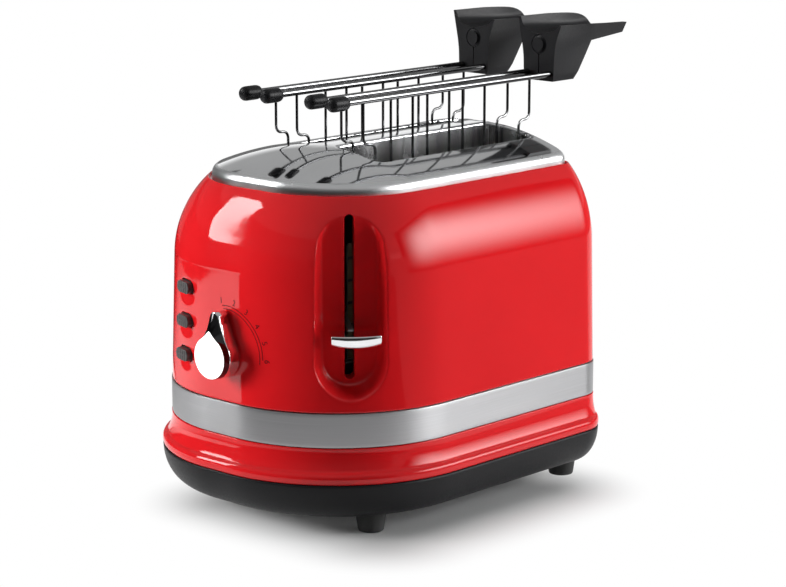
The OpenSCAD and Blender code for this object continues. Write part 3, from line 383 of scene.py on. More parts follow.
# Rolled edges of the shell at its foot and its top: how far in, and how far above the edge
SHELL_FOOT = ((1.2, 0.0), (0.4, 0.0), (0.12, 0.15), (0.0, 0.5))
SHELL_LIP = ((0.25, 0.22), (0.55, 0.12), (0.75, -0.3), (0.8, -2.6), (4.0, -2.8))
SHOULDER_ROWS = 46
# Recess: columns to each side of the lever, and height of its first row
RECESS_COLUMNS, RECESS_START = 22, 62
# Rounding of its floor and of its rim, and how far past the shell's radius its flanks aim
RECESS_FLOOR_ROUND, RECESS_RIM_ROUND, RECESS_PROUD = 3.0, 2.4, 1.0
# Rings from the recess's rim (0) to its slot (1), and how far the last ones turn in
RECESS_SHARES = [-0.2, -0.13, -0.07, *np.arange(0, 0.46, 0.022), 0.5, 0.58, 0.68, 0.78, 0.88, 0.95,
                 0.972, 0.985, 0.995, 1.0, 1.0, 1.0]
SLOT_SINKS = (0.02, 0.1, 0.3, 1.5, 11.0)
# Button wells: depth, half width, half height, how far they lie below the button, and their window
WELL_DEPTH, WELL_HALF_W, WELL_HALF_H, WELL_DROP = 1.2, 11.0, 8.1, 2.7
WELL_COLUMNS, WELL_BELOW, WELL_ABOVE = 10, 11, 8
# Rings round a button: how far out from it, and how far they turn in
WELL_RINGS = ((4.2, 0), (3.5, 0), (2.9, 0), (2.3, 0), (1.8, 0), (1.3, 0), (0.95, 0.02), (0.75, 0.12),
              (0.65, 0.35), (0.62, 0.8), (0.6, 2.0), (0.6, 5.0))
BUTTONS = ("defrost", "reheat", "stop")


def body_level(b):
    """Outline level of the body at the foot of the shell."""
    return np.array([b.end_r, b.half_w, b.back_x, b.corner_r])


def flared(b):
    """Outline level of the skirt's foot."""
    return body_level(b) + np.array([b.flare, b.flare, b.flare_back, b.flare])


def top_level(b):
    """Outline level of the shell's top edge."""
    waist = body_level(b) - np.array([b.lean_end, b.lean_side, 0, 0])
    return waist - np.array([b.shoulder_end, b.shoulder_side, b.shoulder_back, b.shoulder_side / 2])


def shell_level(b, z):
    """Outline level of the shell at a height: a leaning wall that runs smoothly into the shoulder."""
    lean = np.array([b.lean_end, b.lean_side, 0, 0]) / (b.shoulder_z - b.shell_z)
    level = body_level(b) - lean * (z - b.shell_z)
    rise = b.top_z - b.shoulder_z
    if z > b.shoulder_z:
        bend = math.asin(min(1.0, (z - b.shoulder_z) / rise * math.sin(b.shoulder_turn)))
        share = (1 - math.cos(bend)) / (1 - math.cos(b.shoulder_turn))
        level = level - share * (body_level(b) - lean * (b.top_z - b.shell_z) - top_level(b))
    return level


def wall_end(b, z):
    """Radius of the control end's wall at a height below the shoulder."""
    return b.end_r - b.lean_end * (z - b.shell_z) / (b.shoulder_z - b.shell_z)


def shell_reach(b, u, z, direction, origin_y):
    """Distance of the shell's control end from a frame that faces out of it, at points across and up."""
    level = {height: shell_level(b, height) for height in np.unique(z)}
    r = np.array([level[height][0] for height in z])
    h = np.array([level[height][1] for height in z])
    side = 1 if origin_y > 0 else -1
    shift = side * (h - r) - origin_y
    along, across = shift * math.sin(direction), shift * math.cos(direction)
    return along + np.sqrt(np.maximum(r * r - (u - across) ** 2, 1.0))


def window_loop(first_column, last_column, first_row, last_row):
    """Rows and columns of a window's edge, clockwise from its upper left corner."""
    return ([(last_row, c) for c in range(first_column, last_column)]
            + [(r, last_column) for r in range(last_row, first_row, -1)]
            + [(first_row, c) for c in range(last_column, first_column, -1)]
            + [(r, first_column) for r in range(first_row, last_row)])


class StampedSheet:
    """A lofted sheet whose windows are filled with pressed forms."""

    def __init__(self, levels, heights):
        self.grid = loft_points(levels, heights)
        self.rows, self.columns = self.grid.shape[:2]
        self.points = [p for row in self.grid for p in row]
        self.cut = set()
        self.faces = []

    def stamp(self, window, frame_of, rings, depth_of, blend_rows):
        """Fills a window: rings of points across and up, set at the depth that depth_of gives."""
        c0, c1, r0, r1 = window
        self.cut |= {(r, c) for r in range(r0, r1) for c in range(c0, c1)}
        loop = window_loop(c0, c1, r0, r1)
        origin, out, across = frame_of
        edge = np.array([self.grid[r, c] for r, c in loop])
        flat = np.stack([(edge[:, :2] - origin) @ across, edge[:, 2]], 1)
        counts = (c1 - c0, r1 - r0, c1 - c0, r1 - r0)
        loops = [np.array(ring["centre"]) + rounded_loop(ring["w"], ring["h"], ring["r"], counts)
                 for ring in rings]
        steps = [flat + (loops[0] - flat) * k / blend_rows for k in range(1, blend_rows)] + loops
        sinks = [0.0] * (blend_rows - 1) + [ring.get("sink", 0.0) for ring in rings]
        before = [r * self.columns + c for r, c in loop]
        for step, sink in zip(steps, sinks):
            reach = depth_of(step[:, 0], step[:, 1]) - sink
            now = list(range(len(self.points), len(self.points) + len(step)))
            for (u, z), s in zip(step, reach):
                at = origin + s * out + u * across
                self.points.append(np.array([at[0], at[1], z]))
            n = len(now)
            self.faces += [(before[j], now[j], now[(j + 1) % n], before[(j + 1) % n]) for j in range(n)]
            before = now

    def all_faces(self):
        """Faces of the sheet outside its windows and of the forms in them."""
        plain = grid_faces(self.rows, self.columns)
        return [f for f in plain if divmod(f[0], self.columns) not in self.cut] + self.faces


def shell_sheet(b):
    """Plain shell with rolled edges, and the row of each whole height of its wall."""
    wall = list(np.arange(b.shell_z + 1, b.shoulder_z, 1.0))
    rising = wall + list(np.linspace(b.shoulder_z, b.top_z, SHOULDER_ROWS))
    levels = [grown(body_level(b), -inset) for inset, _ in SHELL_FOOT] + [shell_level(b, z) for z in rising]
    levels += [grown(top_level(b), -inset) for inset, _ in SHELL_LIP]
    heights = [b.shell_z + rise for _, rise in SHELL_FOOT] + rising
    heights += [b.top_z + rise for _, rise in SHELL_LIP]
    return StampedSheet(levels, heights), {round(z): len(SHELL_FOOT) + i for i, z in enumerate(wall)}


def lever_frame(b, k):
    """Origin, outward and sideways directions of the lever and its recess."""
    facing_out = math.pi + k.lever_turn
    out = np.array([math.cos(facing_out), math.sin(facing_out)])
    across = np.array([-math.sin(facing_out), math.cos(facing_out)])
    return np.array([0.0, b.end_r - b.half_w]), out, across


def stamp_recess(sheet, row_of, b, k):
    """Presses the lever recess into the shell and turns in the edge of its slot."""
    edge = (k.recess_w - k.recess_floor_w) / 2
    floor_half = k.recess_floor_w / 2
    low, high = k.recess_low + edge + floor_half, k.recess_high - edge - floor_half
    slope = (b.end_r + RECESS_PROUD - k.recess_floor) / edge

    def depth(u, z):
        surface = shell_reach(b, u, z, math.pi + k.lever_turn, b.end_r - b.half_w)
        beyond = np.hypot(u, np.maximum(0, np.maximum(low - z, z - high))) - floor_half
        pocket = k.recess_floor + soft_max(np.zeros_like(u), slope * beyond, RECESS_FLOOR_ROUND)
        return soft_min(surface, pocket, RECESS_RIM_ROUND)

    rings = []
    for share in RECESS_SHARES:
        w = k.recess_w / 2 + (k.lever_slot_w - k.recess_w) / 2 * share
        z0 = k.recess_low + (k.lever_slot_low - k.recess_low) * share
        z1 = k.recess_high + (k.lever_slot_high - k.recess_high) * share
        rings.append({"w": w, "h": (z1 - z0) / 2, "r": w, "centre": (0.0, (z0 + z1) / 2)})
    for ring, sink in zip(rings[-len(SLOT_SINKS):], SLOT_SINKS):
        ring["sink"] = sink
    column = NEAR_ARC + round(math.degrees(k.lever_turn))
    last_row = sheet.rows - len(SHELL_LIP) - 2
    window = (column - RECESS_COLUMNS, column + RECESS_COLUMNS, row_of[RECESS_START], last_row)
    sheet.stamp(window, lever_frame(b, k), rings, depth, 4)


def stamp_wells(sheet, row_of, b, k):
    """Presses a shallow well round each button and turns in the edge of its hole."""
    offset = b.half_w - b.end_r
    u = -(k.button_y - offset)
    column = ARC - round(math.degrees(math.asin((k.button_y - offset) / b.end_r)))
    frame_of = np.array([0.0, offset]), np.array([-1.0, 0.0]), np.array([0.0, -1.0])
    for i in range(len(BUTTONS)):
        z = k.button_z + i * k.button_step

        def depth(uu, zz, z=z):
            near = np.minimum(1.0, np.hypot((uu - u) / WELL_HALF_W, (zz - z + WELL_DROP) / WELL_HALF_H))
            return shell_reach(b, uu, zz, math.pi, offset) - WELL_DEPTH * (1 - near * near) ** 2

        rings = []
        for margin, sink in WELL_RINGS:
            w, h = k.button_w / 2 + margin, k.button_h / 2 + margin
            rings.append({"w": w, "h": h, "r": h - 0.02, "centre": (u, z), "sink": sink})
        window = (column - WELL_COLUMNS, column + WELL_COLUMNS,
                  row_of[round(z - WELL_BELOW)], row_of[round(z + WELL_ABOVE)])
        sheet.stamp(window, frame_of, rings, depth, 6)


def build_shell(context):
    """Red shell with its shoulder, rolled edges, pressed lever recess and button wells."""
    b, _, k, _ = sizes(context)
    sheet, row_of = shell_sheet(b)
    stamp_recess(sheet, row_of, b, k)
    stamp_wells(sheet, row_of, b, k)
    make_piece("shell_skin", sheet.points, sheet.all_faces(), finish("red_enamel"), "housing", ("shell",),
               "red_paint")


# Lid

# Width of the lid's flat rim, the slope at which its roll starts, and how far it goes down into the gap
RIM_W, RIM_SLOPE, RIM_SINK = 3.0, math.radians(22), 2.2
# How softly the arch runs into the fall at the back
FALL_ROUND = 1.5
# Rows of the lid from a slot's edge (0) to the border of its half (1), and points along the middle
LID_SHARES = (0, 0.012, 0.03, 0.06, 0.1, 0.15, 0.21, 0.28, 0.36, 0.45, 0.54,
              0.63, 0.72, 0.8, 0.87, 0.93, 0.97, 1.0)
LID_MIDDLE = 60


def rim_level(b, lid):
    """Outline level of the lid's rim."""
    return grown(top_level(b), -lid.gap)


def raised(flat, z):
    """Flat points with their heights."""
    return np.concatenate([flat, z[:, None]], 1)


def lid_height(b, lid, x, p):
    """Height of the lid along and across: an arch that runs round the control end and falls at the back."""
    rim = rim_level(b, lid)
    q = (rim[0] - RIM_W) / (rim[1] - RIM_W)
    ax, ap = np.maximum(-x, 0.0), np.abs(p)
    wide = ap > (1 - q) / q * ax
    # Half width of the rounded shape through a point of the control end
    a2, b2, c2 = 1 - 2 * q, -2 * ap * (1 - q), ap * ap + ax * ax
    root = np.sqrt(np.maximum(b2 * b2 - 4 * a2 * c2, 0))
    h = np.where(wide, (-b2 - root) / (2 * a2), ax / q)
    h = np.where(ax > 0, h, ap)
    z = lid.crown_z - lid.arch_r + np.sqrt(lid.arch_r ** 2 - h * h)
    past = np.clip((x - (rim[2] - lid.fall)) / lid.fall, 0, 1)
    back = b.top_z + (lid.crown_z - b.top_z) * np.sqrt(1 - past * past)
    return soft_min(z, np.where(past > 0, back, z + 5), FALL_ROUND)


def build_lid_rim(b, lid):
    """Rolled edge of the lid, down into the gap at the shell."""
    rim = rim_level(b, lid)
    around = outline([grown(rim, -lid.rim_roll)])[0]
    z0 = lid_height(b, lid, *around.T)
    radius = lid.rim_roll / (1 - math.sin(RIM_SLOPE))
    strip = [raised(around, z0)]
    for bend in range(30, 91, 10):
        a = math.radians(bend)
        flat = outline([grown(rim, -lid.rim_roll + radius * (math.sin(a) - math.sin(RIM_SLOPE)))])[0]
        strip.append(raised(flat, z0 - radius * (math.cos(RIM_SLOPE) - math.cos(a))))
    low = strip[-1].copy()
    low[:, 2] = b.top_z - RIM_SINK
    make_piece("lid_rim", *stacked(strip + [low]), finish("rim_chrome"), "housing", slot="chrome", tidy=True)


def build_lid(context):
    """Polished lid: arched top, rolled rim, and two slots with rolled edges and flanges."""
    b, lid, _, _ = sizes(context)
    flat = outline([grown(rim_level(b, lid), -lid.rim_roll)])[0]
    # Border of a half: round from the middle of the control end to that of the back, and home along the lid
    first, last = ARC + FRONT // 2, ARC + FRONT + ARC + SIDE + CORNER + BACK // 2
    rim_run = flat[first:last + 1] * (1, -1)
    homeward = np.linspace(rim_run[-1, 0], rim_run[0, 0], LID_MIDDLE + 2)[1:-1]
    home = np.stack([homeward, np.zeros(LID_MIDDLE)], 1)
    border = np.concatenate([rim_run, home])
    left, top = FRONT // 2 + ARC // 2, ARC // 2 + SIDE + CORNER // 2
    right, low = CORNER // 2 + BACK // 2, LID_MIDDLE + 1
    if left + top + right + low != len(border):
        raise RuntimeError("lid border and slot do not match")
    centre = np.array([(lid.slot_front + lid.slot_back) / 2, lid.slot_y])
    half_l, half_w = (lid.slot_back - lid.slot_front) / 2, lid.slot_w / 2

    def slot_loop(margin):
        loop = rounded_loop(half_l + margin, half_w + margin, lid.slot_r + margin, (top, right, low, left))
        return centre + np.roll(loop, left, axis=0)

    def both_sides(stack):
        points, faces = [], []
        for side in (-1, 1):
            quads = grid_faces(len(stack), len(border), True, len(points))
            points += [np.array([x, side * p, z]) for row in stack for x, p, z in row]
            faces += quads if side < 0 else [f[::-1] for f in quads]
        return points, faces

    slot_edge = slot_loop(lid.slot_roll)
    rows = []
    for share in LID_SHARES:
        at = slot_edge + (border - slot_edge) * share
        rows.append(raised(at, lid_height(b, lid, *at.T)))
    rolls = []
    for bend in range(10, 91, 10):
        a = math.radians(bend)
        at = slot_loop(lid.slot_roll * (1 - math.sin(a)))
        rolls.append(raised(at, rows[0][:, 2] - lid.slot_roll * (1 - math.cos(a))))
    wall = rolls[-1].copy()
    wall[:, 2] = lid.flange_z
    make_piece("slot_flanges", *both_sides([wall, (wall + rolls[-1]) / 2, rolls[-1]]), finish("flange_steel"),
               "housing", slot="chrome", tidy=True)
    build_lid_rim(b, lid)
    make_piece("lid", *both_sides(rolls[::-1] + rows), finish("lid_chrome"), "housing", ("top_plate",),
               "chrome", tidy=True)


# Band, skirt, base and feet

# Softened edge of the band: how far out and how high from the edge; and steps up its face
BAND_EDGE = ((-1.6, 0.45), (-0.2, 0.45), (-0.05, 0.5), (0.0, 0.65))
BAND_STEPS = 8
# Skirt from its top down, as shares of the flare and of the height: a leaning neck, a tight hollow and a bead
SKIRT_RUN = ((0.0, 0.0), (0.0, 0.09), (0.02, 0.2), (0.08, 0.32), (0.18, 0.43), (0.3, 0.53), (0.4, 0.595),
             (0.48, 0.63), (0.58, 0.65), (0.7, 0.67), (0.83, 0.7), (0.94, 0.745), (0.99, 0.795), (1.0, 0.85),
             (0.975, 0.91), (0.91, 0.96), (0.8, 0.995))
# Turned-in edges of the skirt as shares of the flare, and how far it stands proud of the band
SKIRT_TURN_IN, SKIRT_UNDER, SKIRT_PROUD = (-0.25, -0.06), 0.5, 0.2
# How far its turned-in edge and its first row lie below the band, and how much its run is shortened
SKIRT_GAP, SKIRT_EDGE, SKIRT_TRIM = 0.02, 0.15, 0.2
# Base: steps up its round, how far its skin lies outside the model's and how far it is set in from the skirt
BASE_STEPS, BASE_SKIN, BASE_INSET = 24, 0.25, 0.5
FOOT_SIDES = 48


def build_band(context):
    """Brushed band round the body, with softened edges and a map along its length."""
    b, _, _, _ = sizes(context)
    outer = grown(body_level(b), b.band_proud)
    height = b.shell_z - b.band_z
    rows = list(BAND_EDGE) + [(0.0, height * i / BAND_STEPS) for i in range(1, BAND_STEPS)]
    rows += [(out, height - z) for out, z in BAND_EDGE[::-1]]
    points = loft_points([grown(outer, out) for out, _ in rows], [b.band_z + z for _, z in rows])
    ring = points[len(BAND_EDGE) - 1]
    run = np.concatenate([[0], np.cumsum(np.linalg.norm(np.diff(ring[:, :2], axis=0), axis=1))]) * MM
    uv = [(along, z * MM) for _, z in rows for along in run]
    make_piece("brushed_band", *stacked(points), finish("brushed_steel"), "housing", ("trim_band",),
               "stainless", uv=uv)


def build_skirt(context):
    """Flared red skirt: leaning neck, hollow, and a full bead along its foot."""
    b, _, _, _ = sizes(context)
    neck = grown(body_level(b), b.band_proud + SKIRT_PROUD)
    wide = flared(b)
    full = b.band_z - b.skirt_z - SKIRT_TRIM
    rows = [(share, b.band_z - SKIRT_GAP) for share in SKIRT_TURN_IN]
    rows += [(share, b.band_z - SKIRT_EDGE - full * fall) for share, fall in smooth_run(SKIRT_RUN, 4)]
    rows.append((SKIRT_UNDER, b.skirt_z))
    levels = [neck + (wide - neck) * share for share, _ in rows]
    points = loft_points(levels[::-1], [z for _, z in rows][::-1])
    make_piece("flared_skirt", *stacked(points), finish("red_enamel"), "housing", ("skirt",), "red_paint")


def build_base(context):
    """Smooth outer skin of the dark base, open at the back where the crumb tray comes out."""
    b, _, _, _ = sizes(context)
    top = grown(flared(b), -BASE_INSET)
    low = top - np.array([b.base_round, b.base_round, b.base_round_back, b.base_round_back])
    levels, heights = [], []
    for i in range(BASE_STEPS + 1):
        a = math.radians(90 * i / BASE_STEPS)
        levels.append(grown(low + (top - low) * math.sin(a), BASE_SKIN * math.sin(a)))
        heights.append(b.skirt_z * (1 - math.cos(a)) - (0.1 if i == 0 else 0.0))
    levels.append(grown(top, -0.6))
    heights.append(b.skirt_z + SKIRT_GAP)
    points, faces = stacked(loft_points(levels, heights))
    columns = len(points) // len(levels)
    first = ARC + FRONT + ARC + SIDE + CORNER
    faces = [f for f in faces if f[0] % columns not in range(first, first + BACK)]
    make_piece("base_skin", points, faces, finish("base_plastic"), "housing", slot="black_plastic")


def build_feet(context):
    """Four tapered rubber feet, placed by the record's mounts."""
    b, _, _, _ = sizes(context)
    low, top, h = b.foot_bottom_r, b.foot_top_r, b.foot_h
    profile = [(0.0, 0.0), (low - 0.9, 0.0), (low - 0.3, 0.2), (low, 0.9), (top - 0.15, h - 1.4),
               (top, h - 0.5), (top, h)]
    turns = np.linspace(0, 2 * math.pi, FOOT_SIDES, endpoint=False)
    points, faces = [], []
    for mount in frame["record"]["mounts"]:
        if mount["name"].endswith("_foot"):
            x, y = (mount["pos_m"][0] - SHIFT.x) / MM, mount["pos_m"][1] / MM
            faces += grid_faces(len(profile), FOOT_SIDES, True, len(points))
            points += [(x + r * math.cos(t), y + r * math.sin(t), z - h) for r, z in profile for t in turns]
    make_piece("rubber_feet", points, faces, finish("foot_rubber"), "housing", ("feet",), "foot_rubber")


# Lever, knob and buttons

# Radii of the paddle's bowed front and of its sagging lower edge, and columns across it
PADDLE_BOW, PADDLE_SAG, PADDLE_COLUMNS = 40, 60, 25
# Knob: gap behind it, and its face: how far in, radius and reach of its tip, and the bends of both flanks
KNOB_GAP, FACE_INSET, FACE_TIP_R, FACE_REACH = 0.5, 0.5, 1.6, 0.62
KNOB_FLANK, FACE_FLANK = 0.9, -0.5
# Row at which the knob's bevel starts
BEVEL_ROW = 4
# Dial: how far its print lies on the shell, ends of its two arcs, and turns to and between the numbers
PRINT_LIFT, DIAL_ENDS = 0.05, ((-7, 89), (-5, 95))
NUMBERS, FIRST_NUMBER, NUMBER_STEP = 6, -8, 19.6
# Button edge: share of its size and how far below its face; and depth, pitch and first share of its ribs
BUTTON_EDGE = ((1.0, 9.0), (1.0, 1.2), (0.985, 0.6), (0.94, 0.22), (0.88, 0.05))
RIB_DEPTH, RIB_PITCH, RIB_START = 0.5, 2.4, 0.9


def build_lever(context):
    """Chrome lever paddle: flat top, bowed front and a sagging lower edge."""
    b, _, k, _ = sizes(context)
    origin, out, across = lever_frame(b, k)
    high = k.lever_z + k.paddle_h / 2
    rows = []
    for u in np.linspace(-k.paddle_w / 2, k.paddle_w / 2, PADDLE_COLUMNS):
        front = k.paddle_s + k.paddle_d - (PADDLE_BOW - math.sqrt(PADDLE_BOW ** 2 - u * u))
        low = k.lever_z - k.paddle_h / 2 + (PADDLE_SAG - math.sqrt(PADDLE_SAG ** 2 - u * u))
        section = ((k.paddle_s, high), (front - 0.5, high), (front, high - 0.7),
                   (front - 0.25, (high + low) / 2), (front - 1.1, low + 1.2),
                   (front - 2.6, low), (k.paddle_s, low))
        rows.append([(*(origin + s * out + (u + k.paddle_side) * across), z) for s, z in section])
    points, faces = stacked(rows)
    n = len(rows[0])
    faces += [tuple(range(n - 1, -1, -1)), tuple(range(len(points) - n, len(points)))]
    piece = make_piece("lever_paddle_chrome", points, faces, finish("lever_chrome"), "lift",
                       ("lever_paddle",), "chrome", tidy=True)
    bevel(piece, 0.6, 3, 35)


def drop_loop(r, tip, reach, hollow):
    """Drop shape of the knob across and up: a round part, and a tip with flanks that bend in or out."""
    lean = math.acos((r - tip) / reach)
    big = np.linspace(math.pi / 2 + lean, math.pi / 2 + 2 * math.pi - lean, 64)
    small = np.linspace(math.pi / 2 - lean, math.pi / 2 + lean, 24)
    big = np.stack([r * np.cos(big), r * np.sin(big)], 1)
    small = np.stack([tip * np.cos(small), reach + tip * np.sin(small)], 1)

    def flank(first, last):
        share = np.linspace(0, 1, 12)[1:-1, None]
        inward = np.array([-math.copysign(4 * hollow, first[0]), 0.0])
        return first + (last - first) * share + inward * share * (1 - share)

    return np.concatenate([big, flank(big[-1], small[0]), small, flank(small[-1], big[0])])


def build_knob(context):
    """Chrome knob whose bevel, sloping up to its pointer, is coloured near-black as a painted dark
    reflection, and its bright face.
    """
    b, _, k, _ = sizes(context)
    back = -wall_end(b, k.knob_z) - KNOB_GAP
    front = back - k.knob_d - 0.6
    full = drop_loop(k.knob_r, k.knob_tip_r, k.knob_reach, KNOB_FLANK)
    face = drop_loop(k.knob_r - FACE_INSET, FACE_TIP_R, k.knob_reach * FACE_REACH, FACE_FLANK)

    def ring(shape, x):
        return [(x, k.knob_y + y, k.knob_z + z) for y, z in shape]

    def part_way(share):
        return full + (face - full) * share

    slope = k.knob_slope
    rows = [ring(full * 0.94, back), ring(full, back - 0.5), ring(full, front + slope + 0.25),
            ring(part_way(0.03), front + slope), ring(part_way(0.08), front + slope * 0.93),
            ring(part_way(0.95), front + 0.1), ring(face, front), ring(face * 0.9, front)]
    # The bevel's finish is near-black: painted reflection of dark surroundings on chrome.
    for name, part in (("knob_chrome", rows[:BEVEL_ROW + 1]), ("knob_bevel", rows[BEVEL_ROW:])):
        make_piece(name, *stacked(part), finish(name), "knob", ("knob_body",), "chrome", sharp=50, tidy=True)
    top = front - k.knob_face
    rows = [ring(face * 0.995, front + 0.3), ring(face * 0.995, top + 0.06), ring(face * 0.988, top)]
    rows += [ring(face * share, top) for share in (0.97, 0.6, 0.3)]
    points, faces = stacked(rows)
    points.append((top, k.knob_y, k.knob_z))
    n = len(face)
    start = (len(rows) - 1) * n
    faces += [(start + j, start + (j + 1) % n, len(points) - 1) for j in range(n)]
    make_piece("knob_face", points, faces, finish("knob_face"), "knob", ("knob_cap",), "knob_face", sharp=30,
               tidy=True)


def number_mesh(number, height):
    """Flat mesh of a plain number."""
    curve = bpy.data.curves.new("dial_number", "FONT")
    curve.body = str(number)
    curve.size = height * 1.4
    curve.align_x, curve.align_y = "CENTER", "CENTER"
    curve.resolution_u = 6
    writing = bpy.data.objects.new("dial_number", curve)
    bpy.context.scene.collection.objects.link(writing)
    bpy.context.view_layer.update()
    mesh = bpy.data.meshes.new_from_object(writing.evaluated_get(bpy.context.evaluated_depsgraph_get()))
    bpy.data.objects.remove(writing)
    bpy.data.curves.remove(curve)
    return mesh


def build_dial(context):
    """Printed dial on the shell: two arcs and plain numbers round the knob."""
    b, _, k, _ = sizes(context)

    def on_shell(across, up):
        y, z = k.knob_y - across, k.knob_z + up
        end, half = shell_level(b, z)[:2]
        beyond = max(0.0, abs(y) - (half - end))
        return (-math.sqrt(end * end - beyond * beyond) - PRINT_LIFT, y, z)

    points, faces = [], []
    for radius, ends in zip((k.dial_r, k.dial_r - k.dial_gap), DIAL_ENDS):
        turns = np.radians(np.linspace(*ends, 60))
        faces += grid_faces(2, len(turns), False, len(points))
        for edge in (-0.5, 0.5):
            r = radius + edge * k.dial_line
            points += [on_shell(r * math.sin(a), r * math.cos(a)) for a in turns]
    for i in range(NUMBERS):
        angle = math.radians(FIRST_NUMBER + NUMBER_STEP * i)
        cos, sin = math.cos(angle), math.sin(angle)
        mesh = number_mesh(i + 1, k.number_h)
        faces += [tuple(len(points) + v for v in polygon.vertices) for polygon in mesh.polygons]
        for vertex in mesh.vertices:
            p, q = vertex.co.x, vertex.co.y + k.number_r
            points.append(on_shell(p * cos + q * sin, q * cos - p * sin))
        bpy.data.meshes.remove(mesh)
    make_piece("dial_print", points, faces, finish("dial_ink"), "housing", slot="red_paint")


def build_buttons(context):
    """Three push buttons: upright-ribbed pills with rounded edges."""
    b, _, k, _ = sizes(context)
    offset = b.half_w - b.end_r
    u0 = -(k.button_y - offset)
    edge = BUTTON_EDGE + tuple((share, 0.0) for share in np.arange(0.82, 0.05, -0.055))
    for i, name in enumerate(BUTTONS):
        z0 = k.button_z + i * k.button_step
        rows = []
        for share, sink in edge:
            h = k.button_h / 2 * share
            w = k.button_w / 2 - k.button_h / 2 * (1 - share)
            loop = rounded_loop(w, h, h - 0.001, (40, 12, 40, 12))
            u, z = u0 + loop[:, 0], z0 + loop[:, 1]
            reach = np.sqrt((wall_end(b, z0) + k.button_proud) ** 2 - u ** 2)
            if share < RIB_START:
                reach = reach - RIB_DEPTH * (0.5 + 0.5 * np.cos(2 * math.pi * loop[:, 0] / RIB_PITCH))
            rows.append(np.stack([-(reach - sink), offset - u, z], 1))
        points, faces = stacked(rows)
        faces.append(tuple(range(len(points) - len(rows[0]), len(points))))
        make_piece(name + "_pill", points, faces, finish("button_plastic"), name + "_key",
                   (name + "_button",), "button_grey", tidy=True)


# Tongs

TONGS = (("front_tongs", -1), ("rear_tongs", 1))
HALVES = (("near", -1), ("far", 1))
# Grids: bays between the end wires, how far the rods reach into tips and grips, and the sides of a rod
BAYS, ROD_IN_TIP, ROD_IN_GRIP, ROD_SIDES = 4, 6, 14, 24
# Clearance of the stepped wires over the lid, height of the middle wire, and bends of the end wires and bars
STEP_CLEAR, MIDDLE_WIRE, END_BEND, BAR_BEND = 3.4, 40, 5.0, 2.0
# Grips: drop below the rods, gap of a half to the middle, and how much further the near wing spreads
GRIP_DROP, GRIP_GAP, NEAR_SPREAD = 4.5, 0.3, 2.5
# Taper of the grips: spacing of its cuts, length over which it acts, and how much it draws in
TAPER_STEP, TAPER_REACH, TAPER_RATE = 6.0, 38.0, 0.0125
# Ends of the knuckles along the pivot, their bore and the clearance round them
KNUCKLES = {"near": ((7.3, 21.0),), "far": ((0.0, 7.0), (21.3, 28.0))}
KNUCKLE_BORE, KNUCKLE_CLEAR = 2.56, 0.3
# Pivot springs: start behind the grip's face, length, radius, wire radius and turns
COIL_START, COIL_LENGTH, COIL_R, COIL_WIRE, COIL_TURNS = 28.7, 4.8, 3.3, 0.5, 3
# Lift spring: wire radius and turns
LIFT_WIRE, LIFT_TURNS = 0.6, 10


def tongs_halves(lid):
    """Each half of each pair: start of its names, which half, its body, the pair's middle and its side."""
    for name, side in TONGS:
        for half, sign in HALVES:
            # The outer half of each pair is its jaw
            body = name + "_jaw" if sign == side else name
            yield f"{name}_{half}", half, body, side * lid.slot_y, sign


def rounded_path(points, radius, steps=6):
    """A path of straight runs whose corners are rounded."""
    points = [np.asarray(p, float) for p in points]
    path = [points[0]]
    for before, at, after in zip(points, points[1:], points[2:]):
        a, c = before - at, after - at
        la, lc = np.linalg.norm(a), np.linalg.norm(c)
        cut = min(radius, la * 0.49, lc * 0.49)
        start, end = at + a / la * cut, at + c / lc * cut
        for t in np.linspace(0, 1, steps):
            path.append((1 - t) ** 2 * start + 2 * t * (1 - t) * at + t * t * end)
    path.append(points[-1])
    return np.array(path)


def tube(path, radius, sides=12):
    """Points and faces of a round wire along a path, closed at both ends."""
    path = np.asarray(path, float)
    along = np.gradient(path, axis=0)
    along /= np.linalg.norm(along, axis=1)[:, None]
    normal = np.cross(along[0], (0.0, 0.0, 1.0))
    if np.linalg.norm(normal) < 0.1:
        normal = np.cross(along[0], (0.0, 1.0, 0.0))
    turns = np.linspace(0, 2 * math.pi, sides, endpoint=False)
    rings = []
    for at, direction in zip(path, along):
        normal = normal - direction * (normal @ direction)
        normal /= np.linalg.norm(normal)
        other = np.cross(direction, normal)
        rings += [at + radius * (math.cos(t) * normal + math.sin(t) * other) for t in turns]
    faces = grid_faces(len(path), sides)
    last = (len(path) - 1) * sides
    faces += [tuple(range(sides - 1, -1, -1)), tuple(range(last, last + sides))]
    return rings, faces


def join(parts):
    """Points and faces of several parts as one."""
    points, faces = [], []
    for p, f in parts:
        start = len(points)
        points += list(p)
        faces += [tuple(i + start for i in face) for face in f]
    return points, faces


